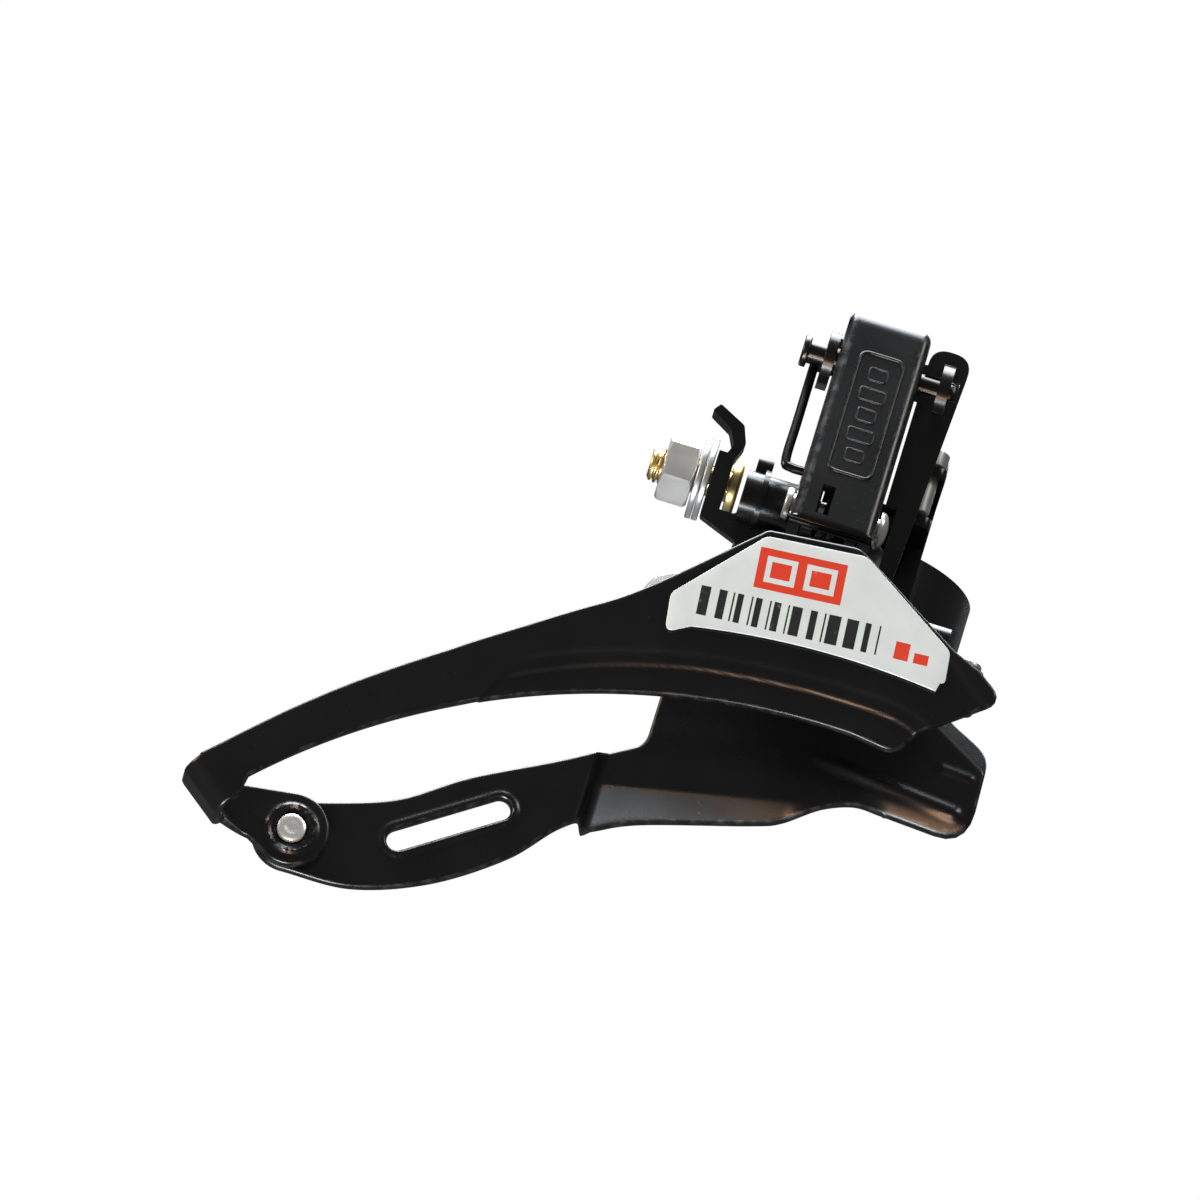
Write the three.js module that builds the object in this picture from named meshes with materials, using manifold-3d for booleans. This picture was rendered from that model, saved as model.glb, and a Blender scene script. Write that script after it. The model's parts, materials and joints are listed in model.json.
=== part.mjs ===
// Front derailleur for a 28.6 mm seat tube and a 42-tooth outer chainring.
// Millimetres. +Z runs up the seat tube, +X points to the front of the bicycle and
// -Y points outboard, to the chain side. The origin is the centre of the tube clamp.
import * as THREE from "three";
import { mergeVertices } from "three/addons/utils/BufferGeometryUtils.js";
import Module from "manifold-3d";

const wasm = await Module();
wasm.setup();

// ---- driving dimensions ----
const GAP = 0.3;               // air left between pieces that touch
const SHEET = 1.5;             // pressed steel sheet
const TUBE_R = 14.3;           // seat tube radius
const BAND_R = 16;             // outer radius of the clamp band
const BAND_LOW = -6.7;         // lower and upper rim of the band
const BAND_TOP = 6.7;
const PIVOT_R = 1.5;           // shank radius of the four link pins
const BORE_R = PIVOT_R + GAP;  // and the bores that turn on them
const RIVET_R = 1.3;           // cage rivets: shank, hole and head
const RIVET_HOLE_R = RIVET_R + GAP;
const RIVET_HEAD_R = 2.1;
const LEAN = -0.2178;          // rotation of the links about X at rest
const LINK = 23.15;            // pivot to pivot along each link
const LOW_OUT = [-35, 1];      // outer link, fixed pivot (Y, Z)
const LOW_IN = [-25, 4];       // inner link, fixed pivot (Y, Z)
const LINK_X = [-10.1, 0.9];   // the two cheeks of each link lie inside this width
const RISE = [-Math.sin(LEAN) * LINK, Math.cos(LEAN) * LINK];
const UP_OUT = [LOW_OUT[0] + RISE[0], LOW_OUT[1] + RISE[1]];
const UP_IN = [LOW_IN[0] + RISE[0], LOW_IN[1] + RISE[1]];
const OUTER_Y = -45;           // outboard face of the outer cage plate
const INNER_Y = -33;           // outboard face of the inner cage plate, front part
const TAIL_Y = -35;            // and at its tail
const RIVET_TAIL = [-59.5, -61.9];
const ANCHOR = [-12, 9.3];     // axis of the cable bolt (Y, Z), parallel to X
const ARM_X = [-21.2, -19];    // plate that the cable bolt passes through

const STEEL_BLACK = [0x17171a, 0.42, 0.55];
const STEEL_BRIGHT = [0xc9cbc8, 0.26, 1];
const STEEL_ZINC = [0xaeb2ac, 0.32, 1];
const STEEL_YELLOW = [0xb79a4e, 0.34, 1];
const FILM = [0xd6dad6, 0.38, 0.1];

// ---- solids ----
function solid(geometry) {
  const bare = geometry.index ? geometry.toNonIndexed() : geometry.clone();
  for (const name of Object.keys(bare.attributes)) {
    if (name !== "position") bare.deleteAttribute(name);
  }
  const merged = mergeVertices(bare, 1e-4);
  return new wasm.Manifold(new wasm.Mesh({
    numProp: 3,
    vertProperties: new Float32Array(merged.attributes.position.array),
    triVerts: new Uint32Array(merged.index.array),
  }));
}

function geometryOf(body) {
  const mesh = body.getMesh();
  const geometry = new THREE.BufferGeometry();
  geometry.setAttribute("position", new THREE.BufferAttribute(new Float32Array(mesh.vertProperties), 3));
  geometry.setIndex(new THREE.BufferAttribute(new Uint32Array(mesh.triVerts), 1));
  return geometry;
}

const object = new THREE.Group();

function add(name, body, [color, roughness, metalness]) {
  const geometry = geometryOf(body);
  geometry.computeVertexNormals();
  const material = new THREE.MeshStandardMaterial({ color, roughness, metalness });
  const mesh = new THREE.Mesh(geometry, material);
  mesh.name = name;
  object.add(mesh);
}

function join(...bodies) {
  return bodies.reduce((all, body) => all.add(body));
}

function box(x, y, z) {
  const geometry = new THREE.BoxGeometry(x[1] - x[0], y[1] - y[0], z[1] - z[0]);
  geometry.translate((x[0] + x[1]) / 2, (y[0] + y[1]) / 2, (z[0] + z[1]) / 2);
  return solid(geometry);
}

// A round bar from a to b along one axis, centred on the two other coordinates.
function rodX([y, z], radius, a, b, sides = 20) {
  const geometry = new THREE.CylinderGeometry(radius, radius, b - a, sides);
  geometry.rotateZ(Math.PI / 2);
  geometry.translate((a + b) / 2, y, z);
  return solid(geometry);
}

function rodY([x, z], radius, a, b, sides = 20) {
  const geometry = new THREE.CylinderGeometry(radius, radius, b - a, sides);
  geometry.translate(x, (a + b) / 2, z);
  return solid(geometry);
}

function rodZ([x, y], radius, a, b, sides = 20) {
  const geometry = new THREE.CylinderGeometry(radius, radius, b - a, sides);
  geometry.rotateX(Math.PI / 2);
  geometry.translate(x, y, (a + b) / 2);
  return solid(geometry);
}

// A turned piece: profile points are [radius, height], the height runs along +X from `at`.
function turnedX([y, z], at, profile, sides = 20) {
  const points = profile.map(([r, h]) => new THREE.Vector2(r, h));
  const geometry = new THREE.LatheGeometry(points, sides);
  geometry.rotateZ(-Math.PI / 2);
  geometry.translate(at, y, z);
  return solid(geometry);
}

// ---- flat outlines ----
// An outline is a list of [a, b, radius]; the radius rounds that corner.
function outline(points) {
  const shape = new THREE.Shape();
  const count = points.length;
  for (let i = 0; i < count; i += 1) {
    const here = new THREE.Vector2(points[i][0], points[i][1]);
    const before = new THREE.Vector2(...points[(i + count - 1) % count].slice(0, 2));
    const after = new THREE.Vector2(...points[(i + 1) % count].slice(0, 2));
    const radius = points[i][2] ?? 0;
    const back = before.clone().sub(here).normalize();
    const on = after.clone().sub(here).normalize();
    const half = Math.acos(Math.min(1, Math.max(-1, back.dot(on)))) / 2;
    const run = Math.min(radius / Math.tan(half), before.distanceTo(here) * 0.49, after.distanceTo(here) * 0.49);
    const start = here.clone().addScaledVector(back, run);
    if (i === 0) shape.moveTo(start.x, start.y);
    else shape.lineTo(start.x, start.y);
    if (radius > 0) {
      const end = here.clone().addScaledVector(on, run);
      shape.quadraticCurveTo(here.x, here.y, end.x, end.y);
    }
  }
  shape.closePath();
  return shape;
}

function extrude(shape, depth, curveSegments = 8) {
  return new THREE.ExtrudeGeometry(shape, { depth, bevelEnabled: false, curveSegments });
}

// A plate whose outline lies in the XZ plane, between two Y values.
function plateY(shape, y0, y1, curveSegments) {
  const geometry = extrude(shape, y1 - y0, curveSegments);
  geometry.rotateX(Math.PI / 2);
  geometry.translate(0, y1, 0);
  return solid(geometry);
}

// A plate whose outline lies in the YZ plane, between two X values.
function plateX(shape, x0, x1, curveSegments) {
  const geometry = extrude(shape, x1 - x0, curveSegments);
  const turn = new THREE.Matrix4().set(0, 0, 1, x0, 1, 0, 0, 0, 0, 1, 0, 0, 0, 0, 0, 1);
  geometry.applyMatrix4(turn);
  return solid(geometry);
}

// A plate whose outline lies in the XY plane, between two Z values.
function plateZ(shape, z0, z1, curveSegments) {
  const geometry = extrude(shape, z1 - z0, curveSegments);
  geometry.translate(0, 0, z0);
  return solid(geometry);
}

// Two round ends joined by straight sides: the outline of a strap between two pins.
function strap([ay, az], ra, [by, bz], rb) {
  const shape = new THREE.Shape();
  const angle = Math.atan2(bz - az, by - ay);
  const tilt = Math.acos((ra - rb) / Math.hypot(by - ay, bz - az));
  shape.absarc(ay, az, ra, angle + tilt, angle - tilt + 2 * Math.PI, false);
  shape.absarc(by, bz, rb, angle - tilt, angle + tilt, false);
  shape.closePath();
  return shape;
}

// ---- clamp: saddle, strap, hinge pin, bolt, nut and washer ----
const HINGE = [17.9, 0];         // axis of the clamp hinge (X, Y)
const HINGE_R = 2.2;
const HINGE_Z = [BAND_LOW, -1];
const LUG_ANGLE = THREE.MathUtils.degToRad(160);
const LUG_Z = [BAND_LOW, 0];
const LUG_AT = 20.6;             // distance of the clamp bolt from the tube axis
const SPLIT = 0.9;               // half of the slit between the lugs
const RIVET_X = 1.2;             // two rivets hold the body to the saddle
const RIVET_Z = [3.2, -3.2];

function bandArc(from, to, inner, outer, z0, z1) {
  const shape = new THREE.Shape();
  shape.absarc(0, 0, outer, from, to, false);
  shape.absarc(0, 0, inner, to, from, true);
  shape.closePath();
  return plateZ(shape, z0, z1, 30);
}

function aboutTube(body, angle) {
  return body.rotate(0, 0, THREE.MathUtils.radToDeg(angle));
}

// One lug, lying along the radius at LUG_ANGLE, on the side given by `side`.
function lug(side) {
  const near = side > 0 ? SPLIT : -SPLIT - 1.6;
  const shape = outline([[14.9, near], [24.2, near, 0.4], [24.2, near + 1.6, 0.4], [14.9, near + 1.6]]);
  const plate = plateZ(shape, LUG_Z[0], LUG_Z[1]);
  const middle = (LUG_Z[0] + LUG_Z[1]) / 2;
  const drilled = plate.subtract(rodY([LUG_AT, middle], 2.8, near - 1, near + 3));
  return aboutTube(drilled, LUG_ANGLE).subtract(tubeBore());
}

function tubeBore() {
  return rodZ([0, 0], TUBE_R + 0.3, BAND_LOW - 1, BAND_TOP + 1, 60);
}

function knuckle(z0, z1) {
  return rodZ(HINGE, HINGE_R, z0, z1);
}

function clampSaddle() {
  const slit = SPLIT / BAND_R;
  const arc = bandArc(LUG_ANGLE + slit, 2 * Math.PI - 0.06, TUBE_R, BAND_R, BAND_LOW, BAND_TOP);
  const third = (HINGE_Z[1] - HINGE_Z[0]) / 3;
  const ends = [knuckle(HINGE_Z[0], HINGE_Z[0] + third - GAP / 2), knuckle(HINGE_Z[1] - third + GAP / 2, HINGE_Z[1])];
  const tie = box([15.2, HINGE[0]], [-2.1, -0.75], HINGE_Z).subtract(tubeBore());
  const middleRoom = rodZ(HINGE, HINGE_R + GAP, HINGE_Z[0] + third - GAP / 2, HINGE_Z[1] - third + GAP / 2);
  const bore = rodZ(HINGE, 1.1, HINGE_Z[0] - 1, HINGE_Z[1] + 1, 20);
  let body = join(arc, tie, ...ends, lug(1)).subtract(middleRoom).subtract(bore);
  for (const z of RIVET_Z) body = body.subtract(rodY([RIVET_X, z], 1.75, -20, -8, 20));
  return body;
}

function clampStrap() {
  const slit = SPLIT / BAND_R;
  const arc = bandArc(0.1, LUG_ANGLE - slit, TUBE_R, BAND_R, BAND_LOW, BAND_TOP);
  const third = (HINGE_Z[1] - HINGE_Z[0]) / 3;
  const z = [HINGE_Z[0] + third + GAP / 2, HINGE_Z[1] - third - GAP / 2];
  const middle = knuckle(...z);
  const tie = box([15, HINGE[0]], [0.75, 2.1], z).subtract(tubeBore());
  const bore = rodZ(HINGE, 1.1, HINGE_Z[0] - 1, HINGE_Z[1] + 1, 20);
  const room = [[HINGE_Z[0] - 1, z[0] - GAP / 2], [z[1] + GAP / 2, BAND_TOP + 1]];
  let body = arc;
  for (const [low, high] of room) body = body.subtract(rodZ(HINGE, HINGE_R + GAP, low, high));
  return join(body, middle, tie, lug(-1)).subtract(bore);
}

add("clamp_saddle", clampSaddle(), STEEL_BLACK);
add("clamp_strap", clampStrap(), STEEL_BLACK);

function clampFastener(radius, from, to, sides) {
  const middle = (LUG_Z[0] + LUG_Z[1]) / 2;
  return aboutTube(rodY([LUG_AT, middle], radius, from, to, sides), LUG_ANGLE);
}

const LUG_OUT = SPLIT + 1.6;
add("clamp_hinge_pin", join(rodZ(HINGE, 0.85, HINGE_Z[0] - 0.5, HINGE_Z[1] + 0.3, 20),
  rodZ(HINGE, 1.7, HINGE_Z[1] + GAP, HINGE_Z[1] + 1.1, 20)), STEEL_ZINC);
add("clamp_bolt", join(clampFastener(2.45, -LUG_OUT - 5, LUG_OUT + GAP + 0.1, 20),
  clampFastener(4.2, LUG_OUT + GAP, LUG_OUT + 4.1, 24))
  .subtract(clampFastener(2.3, LUG_OUT + 1.6, LUG_OUT + 5, 6)), STEEL_ZINC);
const washerY = [-LUG_OUT - GAP - 0.9, -LUG_OUT - GAP];
add("clamp_washer", clampFastener(4.6, ...washerY, 24)
  .subtract(clampFastener(2.7, washerY[0] - 1, washerY[1] + 1, 24)), STEEL_ZINC);
const nutY = [washerY[0] - GAP - 3.2, washerY[0] - GAP];
add("clamp_nut", clampFastener(4.6, ...nutY, 6)
  .subtract(clampFastener(2.65, nutY[0] - 1, nutY[1] + 1, 24)), STEEL_ZINC);

// ---- fixed body ----
const EARS = [[-8.3, -6.9], [-2.4, -1]];   // X ranges of the two ears
const UPRIGHT_Y = [-18, -16.5];
const SHELF_Z = [12.5, 14];                // shelf that carries the two limit screws
const RISER_X = [1.4, 7.8];                // upright between the back plate and the shelf
const RISER_TOP = 19.6;
const SCREW_X = 5.6;
const SCREW_LOW_Y = -27.1;
const SCREW_HIGH_Y = -22.4;

function fixedBody() {
  const ear = strap(LOW_OUT, 3.2, LOW_IN, 3.2);
  const foot = outline([[-29, -1.6], [-27, 7.1, 1], [-22, 7.1, 1], [-16.3, 5.6], [-16.3, -6.2], [-18.5, -6.2, 2]]);
  const ears = EARS.flatMap(([a, b]) => [plateX(ear, a, b), plateX(foot, a, b)]);
  const floor = box([-8.3, -1], [-22, -16.3], [-6.2, -4.7]);
  const back = box([-10.4, RISER_X[1]], UPRIGHT_Y, [-6.2, 6.2]);
  const riser = plateY(outline([[RISER_X[0], 6], [RISER_X[1], 6], [RISER_X[1], RISER_TOP, 1.6],
    [RISER_X[0], RISER_TOP, 1.6]]), ...UPRIGHT_Y);
  const shelf = plateZ(outline([[3.4, -29.2, 1.4], [7.8, -29.2, 1.4], [7.8, -16.5], [3.4, -16.5]]), ...SHELF_Z);
  let body = join(...ears, floor, back, riser, shelf);
  body = body.subtract(rodX(LOW_OUT, BORE_R, -12, 4)).subtract(rodX(LOW_IN, BORE_R, -12, 4));
  for (const y of [SCREW_LOW_Y, SCREW_HIGH_Y]) body = body.subtract(rodZ([SCREW_X, y], 1.75, 10, 16));
  for (const z of RIVET_Z) body = body.subtract(rodY([RIVET_X, z], 1.75, -24, -10, 20));
  return body.subtract(rodZ([0, 0], BAND_R + GAP, -10, 10, 48));
}

add("fixed_body", fixedBody(), STEEL_BLACK);
RIVET_Z.forEach((z, i) => {
  const rivet = join(rodY([RIVET_X, z], 1.4, -18.4, -14.75, 20), rodY([RIVET_X, z], 2, -19.4, -18.3, 20));
  add(`body_rivet_${i + 1}`, rivet, STEEL_ZINC);
});

// ---- links ----
// A link is drawn upright with its lower pivot at (0, 0) and its upper one at (0, LINK),
// then leaned about X and moved to its fixed pivot.
const CHEEKS = [[LINK_X[0], LINK_X[0] + SHEET], [LINK_X[1] - SHEET, LINK_X[1]]];

function place(body, [y, z]) {
  return body.rotate(THREE.MathUtils.radToDeg(LEAN), 0, 0).translate(0, y, z);
}

function linkBores(body) {
  return [0, LINK].reduce((rest, z) => rest.subtract(rodX([0, z], BORE_R, -12, 3)), body);
}

const FACE = -5.2;               // outboard face of the outer link, from its pivot line
const LINK_TOP = LINK + 5.8;
const LINK_END = -5.3;
const WIRE_EXIT = [1.6, 6.4];    // where the spring leaves the link through the rear cheek

function outerLink() {
  const side = outline([[FACE, LINK_END, 1.2], [2, -4.2, 4], [3.3, 0, 2], [3.2, LINK, 3], [0.6, LINK_TOP, 2],
    [FACE, LINK_TOP, 4]]);
  const inside = outline([[FACE + SHEET, LINK_END - 1], [6, LINK_END - 1], [6, LINK_TOP - 4.5],
    [0.8, LINK_TOP - SHEET, 1], [FACE + SHEET, LINK_TOP - SHEET, 2.6]]);
  const hull = plateX(side, ...LINK_X, 12);
  const room = plateX(inside, CHEEKS[0][1], CHEEKS[1][0], 8);
  const window = box([-7.2, -5.5], [FACE - 1, FACE + 2], [-3.4, 1.1]);
  const notch = box([LINK_X[0] - 1, CHEEKS[0][1] + 0.5], [WIRE_EXIT[0] - 1, 4], [WIRE_EXIT[1] - 1, WIRE_EXIT[1] + 1]);
  return linkBores(hull.subtract(room)).subtract(window).subtract(notch);
}

const WEB_Y = [-24.9, -23.4];    // arm of the inner link: first rearward, then inboard
const HEEL_TOP = 3.5;
const BARREL_X = [-16.8, -10];   // barrel round the lower pivot, between the arm and the link
const BARREL_R = 3.5;
const LIP_X = [-14.6, -13.9];    // raised lip round the barrel
const FINGER_HALF = 1.4;         // half of the guide finger's width along Y

function innerLink() {
  const cheek = strap([0, 0], 2.9, [0, LINK], 2.9);
  const bars = CHEEKS.map(([a, b]) => plateX(cheek, a, b));
  const web = box([CHEEKS[0][0], CHEEKS[1][1]], [-SHEET / 2, SHEET / 2], [4.6, LINK - 4.6]);
  const link = place(linkBores(join(...bars, web)), LOW_IN);
  const heelShape = outline([[0, -2.6], [7.6, -2.6, 1.2], [7.6, 6, 1.2], [0.1, 6]]);
  const heel = plateZ(heelShape, HEEL_TOP - SHEET, HEEL_TOP).translate(0, ...LOW_IN);
  const low = BARREL_X[0] + 1;
  const flange = plateY(outline([[ARM_X[0], -0.3, 0.6], [low, -2.4, 0.5], [low, -4.2], [-11.5, -4.2, 2], [-9, 1],
    [-9, 6], [BARREL_X[0], 6], [BARREL_X[0], 1.2, 0.5], [ARM_X[0], 1.2]]), ...WEB_Y);
  const plate = new THREE.Shape();
  plate.absarc(...ANCHOR, 4.2, -Math.PI / 2, Math.PI / 2, false);
  plate.lineTo(WEB_Y[0], 9);
  plate.lineTo(WEB_Y[0], -0.2);
  plate.closePath();
  const arm = plateX(plate, ...ARM_X);
  const barrel = join(rodX(LOW_IN, BARREL_R, ...BARREL_X, 28), rodX(LOW_IN, BARREL_R + 0.5, ...LIP_X, 28),
    rodX([LOW_IN[0], LOW_IN[1] + 4], 1.8, -16, LIP_X[1]));
  const headRoom = rodX(LOW_IN, 2.5, -12, LINK_X[0]).add(rodX(LOW_IN, BORE_R, -12, 1));
  return join(link, heel, flange, arm, finger(), barrel).subtract(rodX(ANCHOR, 2.8, -24, -16)).subtract(headRoom);
}

// The guide finger stands on the arm and bends back over the nut.
function finger() {
  const shape = outline([[-20.8, 11.5], [-19.4, 11.5], [-18.1, 15, 1], [-19, 17.5, 0.8], [-22.7, 19.4, 0.3],
    [-23.5, 18.3, 0.3], [-20.6, 16.6, 0.5], [-19.6, 14.5, 0.6]]);
  return plateY(shape, ANCHOR[0] - FINGER_HALF, ANCHOR[0] + FINGER_HALF, 4);
}

add("outer_link", place(outerLink(), LOW_OUT), STEEL_BLACK);
add("inner_link", innerLink(), STEEL_BLACK);

// ---- carrier: the moving bracket between the upper pivots and the cage ----
const CARRIER_X = [[-11.8, -10.4], [3.4, 4.9]];   // rear and front cheek
const LEG_Y = [-31.2, -29.7];
const LEG_LEFT = 1.3;             // upper part of the leg, close to the outer link
const HEAD_PASS = [-2.4, 6.4];    // below this height the leg stays clear of the lower pin's head
const LEG_RIVETS = [[6.2, -15.4], [6.2, -19.9]];

function carrier() {
  const cheek = strap(UP_OUT, 3.6, UP_IN, 3.6);
  const plates = CARRIER_X.map(([a, b]) => plateX(cheek, a, b));
  const webY = (UP_OUT[0] + UP_IN[0]) / 2;
  const web = box([CARRIER_X[0][0], CARRIER_X[1][1]], [webY - 0.3, webY + 1.2], [24.6, 28.4]);
  const leg = plateY(outline([[3.4, -22.4, 2.4], [8.6, -22.4, 2.4], [8.6, -13, 2], [4.9, -4, 3], [5.8, 13, 9],
    [6.8, 28.8, 3], [LEG_LEFT, 28.8, 2.4], [LEG_LEFT, HEAD_PASS[1]], [2.8, HEAD_PASS[1]], [2.8, HEAD_PASS[0] - 8]]),
  ...LEG_Y);
  let body = join(...plates, web, leg);
  for (const pivot of [UP_OUT, UP_IN]) body = body.subtract(rodX(pivot, BORE_R, -13, 6));
  for (const at of LEG_RIVETS) body = body.subtract(rodY(at, RIVET_HOLE_R, -33, -28, 20));
  return body;
}

add("cage_carrier", carrier(), STEEL_BLACK);

// ---- link pins: a shank with a domed head in front and a flat head at the back ----
function pin(at, from, to, headR) {
  const dome = turnedX(at, to, [[0, 0], [headR, 0], [headR * 0.94, 0.6], [headR * 0.6, 1.15], [0, 1.3]]);
  return join(rodX(at, PIVOT_R, from, to + 0.1), rodX(at, 2.1, from - 0.9, from + 0.1), dome);
}

add("pin_outer_low", pin(LOW_OUT, LINK_X[0] - GAP, LINK_X[1] + GAP, 2.5), STEEL_BRIGHT);
add("pin_inner_low", pin(LOW_IN, LINK_X[0] - GAP, LINK_X[1] + GAP, 1.7), STEEL_BRIGHT);
add("pin_outer_up", join(rodX(UP_OUT, PIVOT_R, -13.9, 5.4), rodX(UP_OUT, 2.1, -14.8, -13.8)), STEEL_BLACK);
add("pin_inner_up", pin(UP_IN, CARRIER_X[0][0] - GAP, CARRIER_X[1][1] + GAP, 3), STEEL_BLACK);

// ---- return spring, wound round the lower pin of the outer link ----
const WIRE_R = 0.62;
const COIL_R = 2.55;

// Fixed leg below, two turns round the pin, then the long leg: out through the notch of
// the rear cheek and up to the rear end of the upper pin.
function springPath() {
  const turns = 2;
  const steps = 14;
  const start = -3.4;
  const pitch = 1.34;
  const points = [new THREE.Vector3(start, 2.9, -4.4), new THREE.Vector3(start, 2.65, -2)];
  for (let i = 0; i <= turns * steps; i += 1) {
    const angle = (i / steps) * 2 * Math.PI;
    points.push(new THREE.Vector3(start - (i / steps) * pitch, COIL_R * Math.cos(angle), COIL_R * Math.sin(angle)));
  }
  const leg = [[-6.1, 2.4, 3], [-6.2, 1.9, 5.1], [-7.3, 1.6, 6.2], [-8.8, ...WIRE_EXIT], [-11.8, ...WIRE_EXIT],
    [-12.7, 1.7, 7.4], [-12.72, 2, 14], [-12.72, 2.3, 24]];
  return new THREE.CatmullRomCurve3([...points, ...leg.map((p) => new THREE.Vector3(...p))], false, "catmullrom", 0.4);
}

function springSection() {
  const shape = new THREE.Shape();
  shape.absarc(0, 0, WIRE_R, 0, 2 * Math.PI, false);
  return shape;
}

function returnSpring() {
  const options = { steps: 76, bevelEnabled: false, extrudePath: springPath(), curveSegments: 4 };
  return place(solid(new THREE.ExtrudeGeometry(springSection(), options)), LOW_OUT);
}

add("return_spring", returnSpring(), STEEL_BLACK);

// ---- cable bolt ----
function ring(at, inner, outer, x0, x1, sides = 28) {
  return rodX(at, outer, x0, x1, sides).subtract(rodX(at, inner, x0 - 1, x1 + 1));
}

add("anchor_bolt", join(rodX(ANCHOR, 2.4, -29.3, -18.6), rodX(ANCHOR, 3.6, -18.7, -17.3)), STEEL_YELLOW);
add("anchor_washer_1", ring(ANCHOR, 2.75, 5.5, -22.1, -21.5, 28), STEEL_ZINC);
add("anchor_washer_2", ring(ANCHOR, 2.75, 5.5, -23, -22.4, 28), STEEL_ZINC);
add("anchor_nut", ring(ANCHOR, 2.7, 4.62, -27.6, -23.3, 6), STEEL_BRIGHT);

// ---- limit screws ----
for (const [name, y, tip] of [["limit_screw_low", SCREW_LOW_Y, 7.85], ["limit_screw_high", SCREW_HIGH_Y, 10.7]]) {
  const slot = box([SCREW_X - 3, SCREW_X + 3], [y - 0.3, y + 0.3], [15.7, 17]);
  const screw = join(rodZ([SCREW_X, y], 1.4, tip, 14.4), rodZ([SCREW_X, y], 2, 14.3, 16.4)).subtract(slot);
  add(name, screw, STEEL_ZINC);
}

// ---- cage ----
const RING_AT = [2, -125];       // centre of the chainring (X, Z)
const EDGE_R = 95;               // lower edge of the outer plate, concentric with the ring
const FOLD = [[-75.2, -60.5], [-69.3, -65.2]];   // outer corner line of the tail fold
const TAB_Y = [TAIL_Y - GAP - SHEET, TAIL_Y - GAP];
const BRIDGE_X = [-7.5, 14];
const BRIDGE_Z = [-22.4, -11.5];
const BRIDGE_Y = [OUTER_Y + SHEET + GAP, INNER_Y - GAP];
const PLATE_RIVETS = [[-4, -17], [11.4, -17]];

function alongRing(radius, x) {
  return Math.atan2(Math.sqrt(radius ** 2 - (x - RING_AT[0]) ** 2), x - RING_AT[0]);
}

function outerOutline() {
  const shape = new THREE.Shape();
  shape.moveTo(-73.3, -58.2);
  shape.splineThru([[-62.8, -47.8], [-52.3, -39], [-34.7, -26.2], [-25.7, -19.7], [-13.4, -8]]
    .map((p) => new THREE.Vector2(...p)));
  shape.quadraticCurveTo(-12.2, -6.9, -10.6, -6.7);
  shape.lineTo(-0.8, -5.7);
  shape.quadraticCurveTo(1, -5.6, 2.6, -6.7);
  shape.lineTo(15, -15.2);
  shape.lineTo(18.8, -16.8);
  shape.quadraticCurveTo(22.6, -19.4, 20, -22.8);
  shape.lineTo(13.6, -27.4);
  shape.quadraticCurveTo(11.6, -30.6, 7.6, -30.4);
  shape.absarc(...RING_AT, EDGE_R, alongRing(EDGE_R, 5.2), alongRing(EDGE_R, -66.6), false);
  shape.lineTo(-67.4, -62.8);
  shape.closePath();
  return shape;
}

// The folded tail: outer leg, round corner, web, round corner, inner leg.
function tailFold() {
  const legs = [3.2, 4.6];
  const radius = 3;
  const section = (inset) => [[legs[0], OUTER_Y + inset], [inset, OUTER_Y + inset, radius - inset],
    [inset, TAB_Y[1] - inset, radius - inset], [legs[1], TAB_Y[1] - inset]];
  const shape = outline([...section(0), ...section(SHEET).reverse()]);
  const [from, to] = FOLD;
  const length = Math.hypot(to[0] - from[0], to[1] - from[1]);
  const n = [(to[0] - from[0]) / length, (to[1] - from[1]) / length];
  const turn = new THREE.Matrix4().set(-n[1], 0, -n[0], to[0], 0, 1, 0, 0, n[0], 0, -n[1], to[1], 0, 0, 0, 1);
  const geometry = extrude(shape, length, 8);
  geometry.applyMatrix4(turn);
  return solid(geometry);
}

function tailTab() {
  const shape = new THREE.Shape();
  shape.moveTo(-71.6, -59.6);
  shape.lineTo(-66.8, -58);
  shape.lineTo(-60.2, -57);
  shape.absarc(...RIVET_TAIL, 4.9, Math.PI * 0.53, -Math.PI * 0.55, true);
  shape.quadraticCurveTo(-63, -64.4, -64.6, -64.6);
  shape.lineTo(-68, -64.4);
  shape.closePath();
  return plateY(shape, ...TAB_Y);
}

function cageOuter() {
  let body = join(plateY(outerOutline(), OUTER_Y, OUTER_Y + SHEET, 26), tailFold(), tailTab());
  for (const at of PLATE_RIVETS) body = body.subtract(rodY(at, RIVET_HOLE_R, OUTER_Y - 1, OUTER_Y + 3, 20));
  return body.subtract(rodY(RIVET_TAIL, 2.15, TAB_Y[0] - 1, TAB_Y[1] + 1));
}

function innerOutline() {
  const shape = new THREE.Shape();
  shape.absarc(...RIVET_TAIL, 4.9, -Math.PI / 2, Math.PI / 2, true);
  shape.splineThru([[-55.9, -56.4], [-47.5, -53], [-39.6, -47.4], [-29.3, -41.6], [-22.9, -37.6]]
    .map((p) => new THREE.Vector2(...p)));
  shape.quadraticCurveTo(-19.8, -35.9, -19.6, -32);
  shape.lineTo(-19.2, -22);
  shape.lineTo(-14, -11);
  shape.quadraticCurveTo(-13, -9, -11, -9);
  shape.lineTo(9, -9);
  shape.lineTo(17.8, -19.8);
  shape.quadraticCurveTo(23.4, -22.4, 23.5, -27);
  shape.quadraticCurveTo(24, -35.6, 19.5, -35.2);
  shape.splineThru([[12.5, -34.8], [8.8, -35], [5, -36.5], [0.5, -39.5], [-3.5, -41], [-17, -44.8], [-22.8, -47.2]]
    .map((p) => new THREE.Vector2(...p)));
  shape.splineThru([[-27, -51], [-32, -56.4], [-40.5, -62.6], [-50.1, -66.4], [-59.5, -66.8]]
    .map((p) => new THREE.Vector2(...p)));
  return shape;
}

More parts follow.
